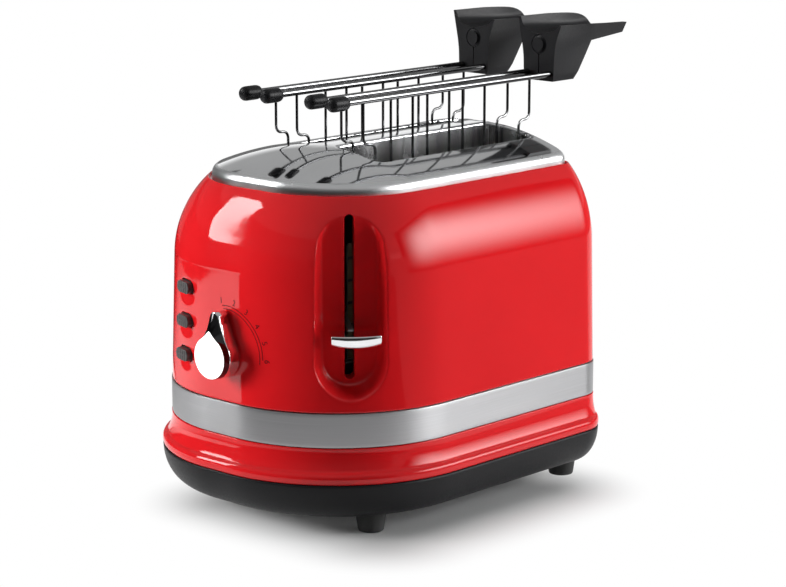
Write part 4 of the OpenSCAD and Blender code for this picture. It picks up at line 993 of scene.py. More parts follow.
def build_tongs_wires(context):
    """Wire grids of the tongs: rods, stepped end wires, bars and inward lips."""
    _, lid, _, t = sizes(context)
    arch = lid.crown_z - lid.arch_r + math.sqrt(lid.arch_r ** 2 - (lid.slot_y - t.grid_half) ** 2)
    step_z = arch + t.wire_r + STEP_CLEAR
    pitch = (t.wire_back - t.wire_front) / BAYS
    for start, _, body, middle, sign in tongs_halves(lid):
        y = middle + sign * t.grid_half
        lip = middle + sign * (t.jaw_gap / 2 + t.wire_r)
        rod = [(t.rod_front + ROD_IN_TIP, y, t.rod_z), (t.grip_x + ROD_IN_GRIP, y, t.rod_z)]
        paths = []
        for x, way in ((t.wire_front, -1), (t.wire_back, 1)):
            out = x + way * t.step
            paths.append(rounded_path([(out, y, t.rod_z), (out, y, step_z), (x, y, step_z),
                                       (x, y, t.grid_low), (x, lip, t.grid_low)], END_BEND, 9))
        for i in range(1, BAYS):
            x = t.wire_front + pitch * i
            paths.append(rounded_path([(x, y, t.rod_z), (x, y, t.grid_low), (x, lip, t.grid_low)], BAR_BEND))
        for at, z in ((y, t.grid_low + MIDDLE_WIRE), (lip, t.grid_low)):
            paths.append([(t.wire_front, at, z), (t.wire_back, at, z)])
        wires = [tube(rod, t.rod_r, ROD_SIDES)] + [tube(path, t.wire_r) for path in paths]
        make_piece(start + "_grid_wires", *join(wires), finish("wire_chrome"), body, (start + "_grid",),
                   "chrome", sharp=50)


def lathe(profile, origin, sides=40):
    """Points and faces of a round piece about X, from distances along it and radii."""
    turns = np.linspace(0, 2 * math.pi, sides, endpoint=False)
    points = [(origin[0] + x, origin[1] + radius * math.cos(a), origin[2] + radius * math.sin(a))
              for x, radius in profile for a in turns]
    return points, grid_faces(len(profile), sides)


def build_tongs_tips(context):
    """Dark tip caps on the free ends of the rods."""
    _, lid, _, t = sizes(context)
    r, l = t.tip_r, t.tip_l
    profile = [(0.0, 0.01), (0.05, r * 0.3), (0.3, r * 0.6), (0.9, r * 0.82), (1.8, r * 0.95), (3.0, r),
               (l - 3.4, r), (l - 2.2, r * 0.98), (l - 1.1, r * 0.9), (l - 0.4, r * 0.78), (l, r * 0.6),
               (l + 0.3, t.rod_r)]
    for start, _, body, middle, sign in tongs_halves(lid):
        cap = lathe(profile, (t.rod_front, middle + sign * t.grid_half, t.rod_z))
        make_piece(start + "_tip_cap", *cap, finish("grip_plastic"), body, (start + "_tip",), "grip_black",
                   tidy=True)


def prism(flat, low, high, way):
    """Closed solid of a flat shape pushed along X (shape in Y and Z) or along Y (shape in X and Z)."""
    n = len(flat)
    if way == "x":
        points = [(at, p, q) for at in (low, high) for p, q in flat]
    else:
        points = [(p, at, q) for at in (low, high) for p, q in flat]
    faces = [tuple(range(n)), tuple(range(2 * n - 1, n - 1, -1))]
    faces += [(i, n + i, n + (i + 1) % n, (i + 1) % n) for i in range(n)]
    return points, faces


def solid_object(name, points, faces):
    """A loose working solid for cutting."""
    mesh = bpy.data.meshes.new(name)
    mesh.from_pydata([tuple(p) for p in place(points)], [], faces)
    clean(mesh)
    piece = bpy.data.objects.new(name, mesh)
    bpy.context.scene.collection.objects.link(piece)
    return piece


def carve(name, first, steps):
    """Mesh left when solids are cut from, or met with, a first one."""
    base = solid_object(name, *first)
    others = []
    for kind, solid in steps:
        other = solid_object(name + "_tool", *solid)
        cut = base.modifiers.new(kind, "BOOLEAN")
        cut.operation = kind
        cut.solver = "EXACT"
        cut.object = other
        others.append(other)
    bpy.context.view_layer.update()
    graph = bpy.context.evaluated_depsgraph_get()
    mesh = bpy.data.meshes.new_from_object(base.evaluated_get(graph))
    for piece in others + [base]:
        old = piece.data
        bpy.data.objects.remove(piece)
        bpy.data.meshes.remove(old)
    clean(mesh, 2e-5, math.radians(2))
    mesh.polygons.foreach_set("use_smooth", [True] * len(mesh.polygons))
    mesh.materials.clear()
    return mesh


def smooth_run(points, steps=6):
    """A smooth curve through points (Catmull-Rom)."""
    points = [np.asarray(p, float) for p in points]
    ends = [2 * points[0] - points[1]] + points + [2 * points[-1] - points[-2]]
    run = []
    for a, b, c, d in zip(ends, ends[1:], ends[2:], ends[3:]):
        square, cube = 2 * a - 5 * b + 4 * c - d, 3 * b - a - 3 * c + d
        for t in np.arange(steps) / steps:
            run.append(0.5 * (2 * b + (c - a) * t + square * t * t + cube * t ** 3))
    run.append(points[-1])
    return [tuple(p) for p in run]


def taper(mesh, t, middle):
    """Draws the upper part of a grip together towards its tail."""
    work = bmesh.new()
    work.from_mesh(mesh)
    for at in np.arange(TAPER_STEP, t.grip_top, TAPER_STEP):
        spot = Vector(place([(t.grip_x + at, 0, 0)])[0])
        everything = work.verts[:] + work.edges[:] + work.faces[:]
        bmesh.ops.bisect_plane(work, geom=everything, plane_co=spot, plane_no=(1, 0, 0))
    low, mid = place([(t.grip_x, middle, t.rod_z)])[0], middle * MM
    for vertex in work.verts:
        along = min(TAPER_REACH, (vertex.co.x - low[0]) / MM)
        rise = min(1.0, max(0.0, (vertex.co.z - low[2]) / MM / t.wing_h))
        vertex.co.y = mid + (vertex.co.y - mid) * (1 - TAPER_RATE * along * rise)
    work.to_mesh(mesh)
    work.free()


def grip_section(t, wing):
    """Cross section of half a grip, from its middle out and up: flank, wing and hollow."""
    outer = smooth_run([(t.grip_w - 0.6, -GRIP_DROP), (t.grip_w, 0.0), (t.grip_w + 0.4, t.pivot_h - 7),
                        (t.grip_w + 2.0, t.pivot_h + 3), (wing, t.wing_h + 3)])
    hollow = smooth_run([(wing - 1.9, t.wing_h + 3), (wing - 4.6, t.pivot_h + 10.5),
                         (t.knuckle_r + 1.6, t.pivot_h + 7.4), (GRIP_GAP, t.pivot_h + 6.2)], 4)
    return [(GRIP_GAP, -GRIP_DROP)] + outer + hollow


def grip_profile(t, half):
    """Side view of a grip along and up: its foot, its tongue and the top of its wing."""
    tail, tongue, under = t.grip_top, t.pivot_h, -GRIP_DROP - 1
    rear = [(0, under), (t.grip_foot - 1.5, under), (t.grip_foot + 18, tongue)]
    if half == "near":
        return rear + [(tail - 4, tongue + 2.6), (tail, tongue + 8.4), (t.grip_foot + 20, tongue + 9.6),
                       (0, t.wing_h - 2.0)]
    return rear + smooth_run([(tail - 21, tongue + 4), (tail - 17, tongue + 8), (tail - 20, tongue + 12),
                              (tail - 30, t.wing_h + 1), (tail - 50, t.wing_h + 2), (0, t.wing_h + 1.6)], 4)


def build_tongs_grips(context):
    """Grips of the tongs: flaring wings with a hollow between them, a thumb tongue and pivot knuckles."""
    _, lid, _, t = sizes(context)
    r, clear = t.knuckle_r, t.knuckle_r + KNUCKLE_CLEAR
    for start, half, body, middle, sign in tongs_halves(lid):
        wing = t.wing_w + (NEAR_SPREAD if half == "near" else 0.0)
        section = [(middle + sign * p, t.rod_z + q) for p, q in grip_section(t, wing)]
        profile = [(t.grip_x + p, t.rod_z + q) for p, q in grip_profile(t, half)]
        low, high = sorted((middle, middle + sign * (wing + 2)))
        pivot = (t.grip_x, middle, t.rod_z + t.pivot_h)
        past = t.grip_top + 2
        bore = lathe([(-1, 0.001), (-1, clear), (past, clear), (past, 0.001)], pivot, 32)
        mesh = carve(start + "_grip_form", prism(section, t.grip_x, t.grip_x + t.grip_top, "x"),
                     [("INTERSECT", prism(profile, low, high, "y")), ("DIFFERENCE", bore)])
        taper(mesh, t, middle)
        piece = add_piece(start + "_grip_form", mesh, finish("grip_plastic"), body, (start + "_grip",))
        bevel(piece, 0.7, 3, 28)
        for i, (first, last) in enumerate(KNUCKLES[half]):
            knuckle = lathe([(first, KNUCKLE_BORE), (first, r - 0.5), (first + 0.4, r), (last - 0.4, r),
                             (last, r - 0.5), (last, KNUCKLE_BORE)], pivot)
            make_piece(f"{start}_knuckle_{i}", *knuckle, finish("grip_plastic"), body, slot="grip_black",
                       sharp=40, tidy=True)


def build_tongs_springs(context):
    """Small wound springs on the pivots of the tongs."""
    _, lid, _, t = sizes(context)
    turns = np.linspace(0, COIL_TURNS * 2 * math.pi, 97)
    for name, side in TONGS:
        path = np.stack([t.grip_x + COIL_START + COIL_LENGTH * turns / turns[-1],
                         side * lid.slot_y + COIL_R * np.cos(turns),
                         t.rod_z + t.pivot_h + COIL_R * np.sin(turns)], 1)
        make_piece(name + "_pivot_spring", *tube(path, COIL_WIRE, 10), finish("spring_steel"), name,
                   (name + "_spring",), "bright_steel")


def build_lift_spring(context):
    """Wound spring on the guide rod, set between the ends of the model's lift spring."""
    seat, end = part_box("lift_spring")
    low, high = (np.array(corner - SHIFT) / MM for corner in (seat, end))
    middle, r = (low + high) / 2, (high[1] - low[1]) / 2 - LIFT_WIRE
    angle = np.linspace(0, 2 * math.pi * LIFT_TURNS, 24 * LIFT_TURNS + 1)
    rise = np.linspace(low[2] + LIFT_WIRE, high[2] - LIFT_WIRE, len(angle))
    path = np.stack([middle[0] + r * np.cos(angle), middle[1] + r * np.sin(angle), rise], 1)
    piece = make_piece("lift_coil", *tube(path, LIFT_WIRE, 10), finish("spring_steel"), None,
                       ("lift_spring",), "bright_steel")
    end.x
    end.y
    seat.z
    end.x
    end.y
    end.z
    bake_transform(piece)


# Finishes

# Part of the noise's range that is spread over a finish's values
NOISE_LOW, NOISE_HIGH = 0.3, 0.7
SLOT_FINISH = {
    "red_paint": "red_enamel", "chrome": "lid_chrome", "stainless": "brushed_steel",
    "black_plastic": "base_plastic", "foot_rubber": "foot_rubber", "zinc_steel": "zinc_sheet",
    "bright_steel": "spring_steel", "mica": "mica_sheet", "heater_wire": "heater_ribbon",
    "magnet_iron": "magnet_iron", "copper_wire": "winding_copper", "circuit_board": "board_green",
    "switch_black": "switch_plastic", "button_grey": "button_plastic",
    "knob_face": "knob_face", "grip_black": "grip_plastic"}


def node_tree(name):
    """A new material, its node tree and its shader."""
    material = bpy.data.materials.new(name)
    material.use_nodes = True
    tree = material.node_tree
    return material, tree, tree.nodes["Principled BSDF"]


def add(tree, kind, **values):
    """A node with the given socket values and settings."""
    node = tree.nodes.new(kind)
    for key, value in values.items():
        if key in node.inputs:
            node.inputs[key].default_value = value
        else:
            setattr(node, key, value)
    return node


def ranged(tree, source, first, last, low, high, kind="LINEAR"):
    """A node that maps a value between two limits to two others."""
    limits = {"From Min": first, "From Max": last, "To Min": low, "To Max": high}
    to = add(tree, "ShaderNodeMapRange", interpolation_type=kind, **limits)
    tree.links.new(source, to.inputs["Value"])
    return to


def ramp(tree, source, first, last):
    """Colour between two stops, each a place and a colour."""
    node = add(tree, "ShaderNodeValToRGB")
    for element, (position, colour) in zip(node.color_ramp.elements, (first, last)):
        element.position = position
        element.color = (*colour, 1)
    tree.links.new(source, node.inputs["Fac"])
    return node.outputs["Color"]


def speckle(tree, scale, detail=3.0, stretch=None):
    """Noise over the piece in its own space."""
    where = add(tree, "ShaderNodeTexCoord").outputs["Object"]
    noise = add(tree, "ShaderNodeTexNoise", Scale=scale, Detail=detail)
    if stretch:
        shape = add(tree, "ShaderNodeMapping", Scale=stretch)
        tree.links.new(where, shape.inputs["Vector"])
        where = shape.outputs["Vector"]
    tree.links.new(where, noise.inputs["Vector"])
    return noise


def spread(tree, source, low, high):
    """Noise as a number between two values."""
    return ranged(tree, source.outputs["Fac"], NOISE_LOW, NOISE_HIGH, low, high).outputs["Result"]


def tinted(tree, source, colour, amount):
    """Noise as a slight change of a colour."""
    dark = [v * (1 - amount) for v in colour]
    pale = [min(1.0, v * (1 + amount)) for v in colour]
    return ramp(tree, source.outputs["Fac"], (NOISE_LOW, dark), (NOISE_HIGH, pale))


def bumped(tree, shader, source, strength, distance):
    """Noise as a slight unevenness of the surface."""
    bump = add(tree, "ShaderNodeBump", Strength=strength, Distance=distance)
    tree.links.new(source.outputs["Fac"], bump.inputs["Height"])
    tree.links.new(bump.outputs["Normal"], shader.inputs["Normal"])


def enamel(name, colour):
    """Gloss enamel: deep colour under a clear, faintly wavy surface."""
    _, tree, shader = node_tree(name)
    flow = speckle(tree, 160.0, 2.0)
    tree.links.new(tinted(tree, speckle(tree, 14.0), colour, 0.03), shader.inputs["Base Color"])
    tree.links.new(spread(tree, flow, 0.03, 0.06), shader.inputs["Roughness"])
    shader.inputs["Specular IOR Level"].default_value = 0.32
    bumped(tree, shader, flow, 0.02, 0.0004)


def metal(name, colour, low, high, scale=60.0, stretch=None, wave=0.0):
    """Bare or plated metal whose roughness and colour vary a little."""
    _, tree, shader = node_tree(name)
    grain = speckle(tree, scale, 4.0, stretch)
    tree.links.new(tinted(tree, grain, colour, 0.04), shader.inputs["Base Color"])
    tree.links.new(spread(tree, grain, low, high), shader.inputs["Roughness"])
    shader.inputs["Metallic"].default_value = 1.0
    if wave:
        bumped(tree, shader, grain, wave, 0.0003)


def edged_metal(name, colour, low, high, scale):
    """Polished wire with painted light: a painted highlight above, painted shade below and painted dark
    edges.
    """
    _, tree, shader = node_tree(name)
    tree.links.new(spread(tree, speckle(tree, scale, 4.0), low, high), shader.inputs["Roughness"])
    shader.inputs["Metallic"].default_value = 1.0
    # Painted shade: the colour darkens towards the wire's edges, where the surface turns away from the view.
    side = add(tree, "ShaderNodeLayerWeight", Blend=0.5)
    edge = ramp(tree, side.outputs["Facing"], (0.22, (1, 1, 1)), (0.64, (0.04, 0.04, 0.04)))
    # Painted light: the colour is pale where the wire faces up and dark where it faces down.
    surface = add(tree, "ShaderNodeNewGeometry")
    parts = add(tree, "ShaderNodeSeparateXYZ")
    tree.links.new(surface.outputs["Normal"], parts.inputs["Vector"])
    rise = ramp(tree, parts.outputs["Z"], (0.0, (0.16, 0.16, 0.165)), (0.55, [0.8 * v for v in colour]))
    painted_light_colour = add(tree, "ShaderNodeMix", data_type="RGBA", blend_type="MULTIPLY")
    painted_light_colour.inputs["Factor"].default_value = 1.0
    tree.links.new(edge, painted_light_colour.inputs[6])
    tree.links.new(rise, painted_light_colour.inputs[7])
    tree.links.new(painted_light_colour.outputs[2], shader.inputs["Base Color"])


def plastic(name, colour, low, high, scale=900.0, texture=0.15, level=0.4):
    """Moulded plastic or rubber with a fine surface texture."""
    _, tree, shader = node_tree(name)
    grain = speckle(tree, scale, 2.0)
    tree.links.new(tinted(tree, speckle(tree, 40.0), colour, 0.12), shader.inputs["Base Color"])
    tree.links.new(spread(tree, grain, low, high), shader.inputs["Roughness"])
    shader.inputs["Specular IOR Level"].default_value = level
    bumped(tree, shader, grain, texture, 0.0002)


def brushed(name, colour):
    """Steel brushed along its length: fine streaks on the band's own map that spread its shine across."""
    _, tree, shader = node_tree(name)
    where = add(tree, "ShaderNodeUVMap", uv_map="along")
    shape = add(tree, "ShaderNodeMapping", Scale=(14.0, 5200.0, 1.0))
    streak = add(tree, "ShaderNodeTexNoise", Scale=1.0, Detail=4.0)
    tree.links.new(where.outputs["UV"], shape.inputs["Vector"])
    tree.links.new(shape.outputs["Vector"], streak.inputs["Vector"])
    tree.links.new(tinted(tree, streak, colour, 0.10), shader.inputs["Base Color"])
    tree.links.new(spread(tree, streak, 0.34, 0.46), shader.inputs["Roughness"])
    shader.inputs["Metallic"].default_value = 1.0
    shader.inputs["Anisotropic"].default_value = 0.8
    shader.inputs["Anisotropic Rotation"].default_value = 0.25
    along = add(tree, "ShaderNodeTangent", direction_type="UV_MAP", uv_map="along")
    tree.links.new(along.outputs["Tangent"], shader.inputs["Tangent"])
    bumped(tree, shader, streak, 0.08, 0.0001)


def make_finishes(colours):
    """Every finish of the toaster, by name."""
    chrome = tuple(colours.chrome)
    enamel("red_enamel", tuple(colours.red))
    metal("lid_chrome", chrome, 0.05, 0.09, 45.0)
    metal("rim_chrome", chrome, 0.27, 0.34, 45.0)
    metal("flange_steel", (0.7, 0.7, 0.71), 0.16, 0.3, 1.0, (60.0, 60.0, 25.0), 0.6)
    metal("lever_chrome", chrome, 0.05, 0.1, 90.0)
    metal("knob_chrome", chrome, 0.04, 0.08, 90.0)
    # Painted reflection: the knob's chrome bevel is coloured near-black in place of the dark surroundings it
    # would mirror.
    metal("knob_bevel", (0.07, 0.07, 0.073), 0.05, 0.09, 90.0)
    # The wire finish carries painted light: pale on top, shaded below and at its edges.
    edged_metal("wire_chrome", chrome, 0.1, 0.18, 220.0)
    metal("knob_face", tuple(colours.face), 0.2, 0.26, 120.0)
    brushed("brushed_steel", tuple(colours.band))
    plastic("base_plastic", tuple(colours.base), 0.38, 0.5, level=0.18)
    plastic("grip_plastic", tuple(colours.grip), 0.36, 0.48, level=0.22)
    plastic("foot_rubber", (0.007, 0.007, 0.008), 0.55, 0.7, 700.0, 0.25, 0.12)
    plastic("button_plastic", tuple(colours.button), 0.38, 0.5, 1200.0, 0.2)
    plastic("dial_ink", tuple(colours.ink), 0.5, 0.6, level=0.1)
    metal("spring_steel", (0.62, 0.62, 0.63), 0.22, 0.32, 200.0)
    metal("zinc_sheet", (0.58, 0.59, 0.60), 0.3, 0.45, 80.0, None, 0.1)
    plastic("mica_sheet", (0.46, 0.37, 0.25), 0.4, 0.6, 300.0, 0.3)
    metal("heater_ribbon", (0.30, 0.27, 0.25), 0.35, 0.5, 300.0)
    metal("magnet_iron", (0.25, 0.25, 0.26), 0.4, 0.55, 150.0)
    metal("winding_copper", (0.62, 0.30, 0.14), 0.25, 0.4, 500.0, (1, 1, 12))
    plastic("board_green", (0.02, 0.12, 0.05), 0.25, 0.4, 250.0)
    plastic("switch_plastic", (0.02, 0.02, 0.021), 0.4, 0.55)


def finish(name):
    """A finish by its name."""
    return bpy.data.materials[name]


def dress_model():
    """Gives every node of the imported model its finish."""
    for part in frame["record"]["subparts"]:
        piece = NODES[part["node"]]
        piece.data.materials.clear()
        piece.data.materials.append(finish(SLOT_FINISH[part["material_slot"]]))


# Stage

# Camera fitted to the photograph: lens for a 36 mm sensor, place in the working frame and directions
LENS, CAMERA_SPOT = 117.05, (-1009.91, -995.27, 411.69)
CAMERA_RIGHT, CAMERA_UP = Vector((0.68282, -0.73058, 0.0)), Vector((0.15344, 0.14341, 0.97770))
CAMERA_FORWARD = Vector((0.71429, 0.66759, -0.21003))
# Cloths and walls round the toaster: directions, inner and outer radius, lower and upper height, brightness
CLOTHS = (("dark_cloth", 60, 264, 345, 3000, -10, -10, 0.015),
          ("grey_cloth", 264, 335, 300, 1800, -10, -10, 0.3),
          ("dark_wall", 66, 264, 2600, 2600, -11, 750, 0.04),
          ("dim_wall", 66, 264, 2600, 2600, 750, 1900, 0.13),
          ("low_wall", 330, 444, 1500, 1500, -11, 380, 0.16),
          ("right_wall", 262, 334, 1800, 1800, -11, 480, 0.3))
# Pale board on the floor that the knob's face shows
BOARD, BOARD_LEVEL = [(-345, 190, -8), (200, 420, -8), (200, 850, -8), (-770, 690, -8)], 2.3
# Leaning strip at the left: middle, way to it, level, and height and two edges of each row in its plane
STRIP_MIDDLE, STRIP_WAY, STRIP_LEVEL = Vector((-761, 1125, 874)), Vector((-0.455, 0.75, 0.48)), 15.0
STRIP_ROWS = ((-415, 56, 313), (-290, -9, 263), (-110, -101, 170), (40, -130, 75), (185, -136, -35),
              (280, -195, -90), (400, -325, -35))
# Upright panel at the right: point it is measured from, direction, distance, level, corners and soft edges
PANEL_FROM, PANEL_TURN, PANEL_AWAY, PANEL_LEVEL = Vector((40.0, -90.0, 150.0)), 308, 1500.0, 11.0
PANEL_CORNERS = ((-1000, -150), (900, -150), (900, 1250), (-1000, 1250))
PANEL_FADES = (("X", 0.04, 0.42), ("X", 0.97, 0.62), ("Y", 0.0, 0.48), ("Y", 1.0, 0.54))
# Lamps: azimuth and elevation, distance, width, height and power
LAMPS = (("wide_left", (140, 12), 1.5, 0.5, 0.6, 22.0), ("wide_right", (311, 10), 1.5, 0.8, 0.8, 23.0),
         ("soft_top", (60, 86), 1.4, 1.4, 1.4, 5.0))
LAMP_AIM = Vector((0.0, 0.0, 0.12))
# Patch of floor that keeps its own shade under the toaster: middle, half size and width of its soft edge
SHADE_MIDDLE, SHADE_HALF, SHADE_EDGE = (-0.038, -0.0285, 0.0), (0.065, 0.0525, 0.0), 0.068
FLOOR_HALF = 6.0


def build_camera(scene):
    """Camera that stands where the photograph was taken from."""
    camera = bpy.data.cameras.new("photo_camera")
    camera.sensor_width = 36.0
    camera.lens = LENS
    camera.clip_end = 50.0
    camera.dof.use_dof = False
    piece = bpy.data.objects.new("photo_camera", camera)
    turned = Matrix((CAMERA_RIGHT, CAMERA_UP, -CAMERA_FORWARD)).transposed().to_4x4()
    piece.matrix_world = Matrix.Translation(Vector(place([CAMERA_SPOT])[0])) @ turned
    scene.collection.objects.link(piece)
    scene.camera = piece


def toward(azimuth, elevation):
    """Unit direction of an azimuth and an elevation in degrees."""
    a, e = math.radians(azimuth), math.radians(elevation)
    return Vector((math.cos(e) * math.cos(a), math.cos(e) * math.sin(a), math.sin(e)))


def facing(centre, at):
    """Placing that looks from a spot to a centre."""
    back = (at - centre).normalized()
    side = Vector((0, 0, 1)).cross(back).normalized()
    over = back.cross(side)
    return Matrix.Translation(at) @ Matrix((side, over, back)).transposed().to_4x4()


def softbox(scene, name, direction, distance, width, height, power):
    """Soft rectangular lamp that faces the toaster; the polished surfaces show the cards instead of it."""
    lamp = bpy.data.lights.new(name, "AREA")
    lamp.shape = "RECTANGLE"
    lamp.size, lamp.size_y = width, height
    lamp.energy = power
    piece = bpy.data.objects.new(name, lamp)
    piece.matrix_world = facing(LAMP_AIM, LAMP_AIM + toward(*direction) * distance)
    piece.visible_glossy = False
    piece.visible_camera = False
    scene.collection.objects.link(piece)


def card(scene, name, corners, faces, level):
    """Glowing studio card that only reflections see: its mesh, tree and glow."""
    mesh = bpy.data.meshes.new(name)
    mesh.from_pydata([tuple(p) for p in place(corners)], [], faces)
    piece = bpy.data.objects.new(name, mesh)
    scene.collection.objects.link(piece)
    piece.visible_camera = False
    piece.visible_transmission = False
    piece.visible_shadow = False
    piece.visible_diffuse = False
    material, tree, shader = node_tree(name)
    tree.nodes.remove(shader)
    glow = add(tree, "ShaderNodeEmission", Strength=level)
    tree.links.new(glow.outputs["Emission"], tree.nodes["Material Output"].inputs["Surface"])
    mesh.materials.append(material)
    return mesh, tree, glow


def faded_card(scene, name, corners, level, fades):
    """Bright four-cornered card that fades along its width (X) or height (Y) between the places given."""
    mesh, tree, glow = card(scene, name, corners, [(0, 1, 2, 3)], level)
    layer = mesh.uv_layers.new(name="card")
    layer.data.foreach_set("uv", (0.0, 0.0, 1.0, 0.0, 1.0, 1.0, 0.0, 1.0))
    where = add(tree, "ShaderNodeUVMap", uv_map="card")
    parts = add(tree, "ShaderNodeSeparateXYZ")
    tree.links.new(where.outputs["UV"], parts.inputs["Vector"])
    strength = None
    for axis, first, last in fades:
        # The first fade carries the card's level
        top = level if strength is None else 1.0
        fade = ranged(tree, parts.outputs[axis], first, last, 0.0, top, "SMOOTHSTEP").outputs["Result"]
        if strength is not None:
            product = add(tree, "ShaderNodeMath", operation="MULTIPLY")
            tree.links.new(strength, product.inputs[0])
            tree.links.new(fade, product.inputs[1])
            fade = product.outputs[0]
        strength = fade
    tree.links.new(strength, glow.inputs["Strength"])


def ring_strip(first, last, inner, outer, low, high):
    """Corners of a strip round the toaster, from an inner circle to an outer one."""
    turns = np.arange(first, last + 0.1, 3.0)
    middle = Vector((62.6, 0.0, 0.0))
    points = [tuple(middle + toward(a, 0) * inner + Vector((0, 0, low))) for a in turns]
    points += [tuple(middle + toward(a, 0) * outer + Vector((0, 0, high))) for a in turns]
    return points, grid_faces(2, len(turns), False)


def build_cards(scene):
    """Cards and cloths round the toaster that shape what its polished surfaces show."""
    for name, *strip, shade in CLOTHS:
        _, tree, glow = card(scene, name, *ring_strip(*strip), 1.0)
        tree.links.new(tinted(tree, speckle(tree, 30.0), (shade, shade, shade), 0.1), glow.inputs["Color"])
    faded_card(scene, "pale_board", BOARD, BOARD_LEVEL, (("X", 1.0, 0.0),))
    away = STRIP_WAY.normalized()
    side = Vector((0, 0, 1)).cross(away).normalized()
    up = away.cross(side)
    corners = [STRIP_MIDDLE + side * u + up * v for v, *edges in STRIP_ROWS for u in edges]
    card(scene, "strip_left", corners, grid_faces(len(STRIP_ROWS), 2, False), STRIP_LEVEL)
    centre = PANEL_FROM + toward(PANEL_TURN, 0) * PANEL_AWAY
    side = toward(PANEL_TURN + 90, 0)
    corners = [centre + side * u + Vector((0, 0, v)) for u, v in PANEL_CORNERS]
    faded_card(scene, "panel_right", corners, PANEL_LEVEL, PANEL_FADES)


def build_world(scene):
    """White to the camera, a pale sweep that dims upwards in reflections, and a dim even light."""
    world = bpy.data.worlds.new("studio")
    scene.world = world
    world.use_nodes = True
    tree = world.node_tree
    back = tree.nodes["Background"]
    rays = add(tree, "ShaderNodeLightPath")
    where = add(tree, "ShaderNodeTexCoord")
    parts = add(tree, "ShaderNodeSeparateXYZ")
    tree.links.new(where.outputs["Generated"], parts.inputs["Vector"])
    sweep = ranged(tree, parts.outputs["Z"], 0.12, 0.34, 1.0, 0.36, "SMOOTHSTEP")
    shown = add(tree, "ShaderNodeMath", operation="MAXIMUM")
    tree.links.new(rays.outputs["Is Glossy Ray"], shown.inputs[0])
    tree.links.new(rays.outputs["Is Transmission Ray"], shown.inputs[1])
    level = ranged(tree, shown.outputs[0], 0.0, 1.0, 0.04, 1.0)
    tree.links.new(sweep.outputs["Result"], level.inputs["To Max"])
    seen = ranged(tree, rays.outputs["Is Camera Ray"], 0.0, 1.0, 0.0, 1.0)
    tree.links.new(level.outputs["Result"], seen.inputs["To Min"])
    tree.links.new(seen.outputs["Result"], back.inputs["Strength"])
    back.inputs["Color"].default_value = (1.0, 1.0, 1.0, 1.0)


def build_floor(scene, colour):
    """Pale floor that keeps its own shade under the toaster and is white further out."""
    mesh = bpy.data.meshes.new("floor")
    corners = [(x * FLOOR_HALF, y * FLOOR_HALF, 0) for x, y in ((-1, -1), (1, -1), (1, 1), (-1, 1))]
    mesh.from_pydata(corners, [], [(0, 1, 2, 3)])
    piece = bpy.data.objects.new("floor", mesh)
    scene.collection.objects.link(piece)
    material, tree, shader = node_tree("floor_paper")
    tree.links.new(tinted(tree, speckle(tree, 3.0), colour, 0.01), shader.inputs["Base Color"])
    shader.inputs["Roughness"].default_value = 0.28
    shader.inputs["Specular IOR Level"].default_value = 0.25
    # Distance past the patch that keeps its shade
    past = add(tree, "ShaderNodeTexCoord").outputs["Object"]
    for operation, value in (("SUBTRACT", SHADE_MIDDLE), ("ABSOLUTE", None), ("SUBTRACT", SHADE_HALF),
                             ("MAXIMUM", (0.0, 0.0, 0.0)), ("LENGTH", None)):
        step = add(tree, "ShaderNodeVectorMath", operation=operation)
        tree.links.new(past, step.inputs[0])
        if value is not None:
            step.inputs[1].default_value = value
        past = step.outputs["Value" if operation == "LENGTH" else "Vector"]
    fade = ranged(tree, past, 0.0, SHADE_EDGE, 0.0, 1.0, "SMOOTHSTEP")
    rays = add(tree, "ShaderNodeLightPath")
    soft = ranged(tree, rays.outputs["Is Diffuse Ray"], 0.0, 1.0, 1.0, 0.0)
    amount = add(tree, "ShaderNodeMath", operation="MULTIPLY")
    tree.links.new(fade.outputs["Result"], amount.inputs[0])
    tree.links.new(soft.outputs["Result"], amount.inputs[1])
    glow = add(tree, "ShaderNodeEmission", Strength=1.0)
    mix = add(tree, "ShaderNodeMixShader")
    tree.links.new(amount.outputs[0], mix.inputs["Fac"])
    tree.links.new(shader.outputs["BSDF"], mix.inputs[1])
    tree.links.new(glow.outputs["Emission"], mix.inputs[2])
    tree.links.new(mix.outputs["Shader"], tree.nodes["Material Output"].inputs["Surface"])
    mesh.materials.append(material)


def build_stage(context):
    """Camera, world, floor, cards and lamps."""
    scene = context.scene
    scene.view_settings.view_transform = "Standard"
    build_camera(scene)
    build_world(scene)
    build_floor(scene, tuple(scene.toaster_colours.floor))
    build_cards(scene)
    for name, *lamp in LAMPS:
        softbox(scene, name, *lamp)


# Operators

class TOASTER_OT_finishes(Operator):
    """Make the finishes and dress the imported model"""
    bl_idname = "toaster.finishes"
    bl_label = "Finishes"

    def execute(self, context):
        make_finishes(context.scene.toaster_colours)
        dress_model()
        return {"FINISHED"}


class TOASTER_OT_shell(Operator):
    """Build the red shell"""
    bl_idname = "toaster.shell"
    bl_label = "Shell"

    def execute(self, context):
        build_shell(context)
        return {"FINISHED"}


class TOASTER_OT_lid(Operator):
    """Build the polished lid"""
    bl_idname = "toaster.lid"
    bl_label = "Lid"

    def execute(self, context):
        build_lid(context)
        return {"FINISHED"}


class TOASTER_OT_foot(Operator):
    """Build the band, the skirt, the base and the feet"""
    bl_idname = "toaster.foot"
    bl_label = "Band, skirt, base and feet"

    def execute(self, context):
        build_band(context)
        build_skirt(context)
        build_base(context)
        build_feet(context)
        return {"FINISHED"}


class TOASTER_OT_lever(Operator):
    """Build the lever paddle"""
    bl_idname = "toaster.lever"
    bl_label = "Lever"

    def execute(self, context):
        build_lever(context)
        return {"FINISHED"}


class TOASTER_OT_lift_spring(Operator):
    """Build the lift's wound spring"""
    bl_idname = "toaster.lift_spring"
    bl_label = "Lift spring"

    def execute(self, context):
        build_lift_spring(context)
        return {"FINISHED"}


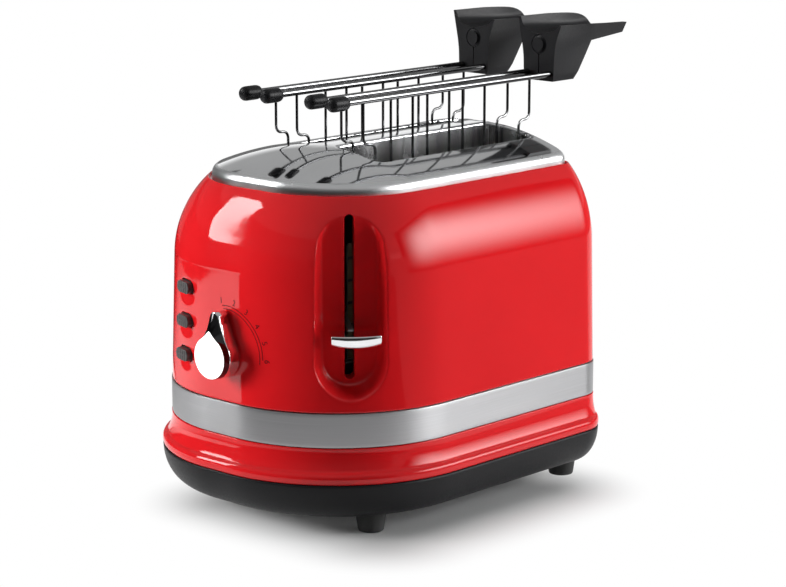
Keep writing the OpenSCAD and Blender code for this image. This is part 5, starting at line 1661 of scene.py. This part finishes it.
class TOASTER_OT_knob(Operator):
    """Build the browning knob"""
    bl_idname = "toaster.knob"
    bl_label = "Knob"

    def execute(self, context):
        build_knob(context)
        return {"FINISHED"}


class TOASTER_OT_dial(Operator):
    """Print the dial round the knob"""
    bl_idname = "toaster.dial"
    bl_label = "Dial"

    def execute(self, context):
        build_dial(context)
        return {"FINISHED"}


class TOASTER_OT_buttons(Operator):
    """Build the push buttons"""
    bl_idname = "toaster.buttons"
    bl_label = "Buttons"

    def execute(self, context):
        build_buttons(context)
        return {"FINISHED"}


class TOASTER_OT_tongs(Operator):
    """Build the two pairs of sandwich tongs"""
    bl_idname = "toaster.tongs"
    bl_label = "Tongs"

    def execute(self, context):
        build_tongs_wires(context)
        build_tongs_tips(context)
        build_tongs_grips(context)
        build_tongs_springs(context)
        return {"FINISHED"}


class TOASTER_OT_stage(Operator):
    """Set the camera, the floor and the light"""
    bl_idname = "toaster.stage"
    bl_label = "Stage"

    def execute(self, context):
        build_stage(context)
        return {"FINISHED"}


STEPS = (TOASTER_OT_finishes, TOASTER_OT_shell, TOASTER_OT_lid, TOASTER_OT_foot, TOASTER_OT_lever,
         TOASTER_OT_lift_spring, TOASTER_OT_knob, TOASTER_OT_dial, TOASTER_OT_buttons, TOASTER_OT_tongs,
         TOASTER_OT_stage)


class TOASTER_PT_panel(Panel):
    """Steps that build the toaster"""
    bl_idname = "TOASTER_PT_panel"
    bl_label = "Toaster"
    bl_space_type = "VIEW_3D"
    bl_region_type = "UI"
    bl_category = "Toaster"

    def draw(self, context):
        for step in STEPS:
            self.layout.operator(step.bl_idname)


CLASSES = tuple(group for _, group in GROUPS) + STEPS + (TOASTER_PT_panel,)


def register():
    """Adds the classes, and the groups of sizes and colours to the scene."""
    for each in CLASSES:
        bpy.utils.register_class(each)
    for name, group in GROUPS:
        setattr(bpy.types.Scene, name, PointerProperty(type=group))


def unregister():
    """Takes away what register added."""
    for name, _ in GROUPS:
        delattr(bpy.types.Scene, name)
    for each in reversed(CLASSES):
        bpy.utils.unregister_class(each)


def main():
    """Builds everything in order."""
    register()
    bpy.ops.toaster.finishes()
    bpy.ops.toaster.shell()
    bpy.ops.toaster.lid()
    bpy.ops.toaster.foot()
    bpy.ops.toaster.lever()
    bpy.ops.toaster.lift_spring()
    bpy.ops.toaster.knob()
    bpy.ops.toaster.dial()
    bpy.ops.toaster.buttons()
    bpy.ops.toaster.tongs()
    bpy.ops.toaster.stage()


if __name__ == "__main__":
    main()
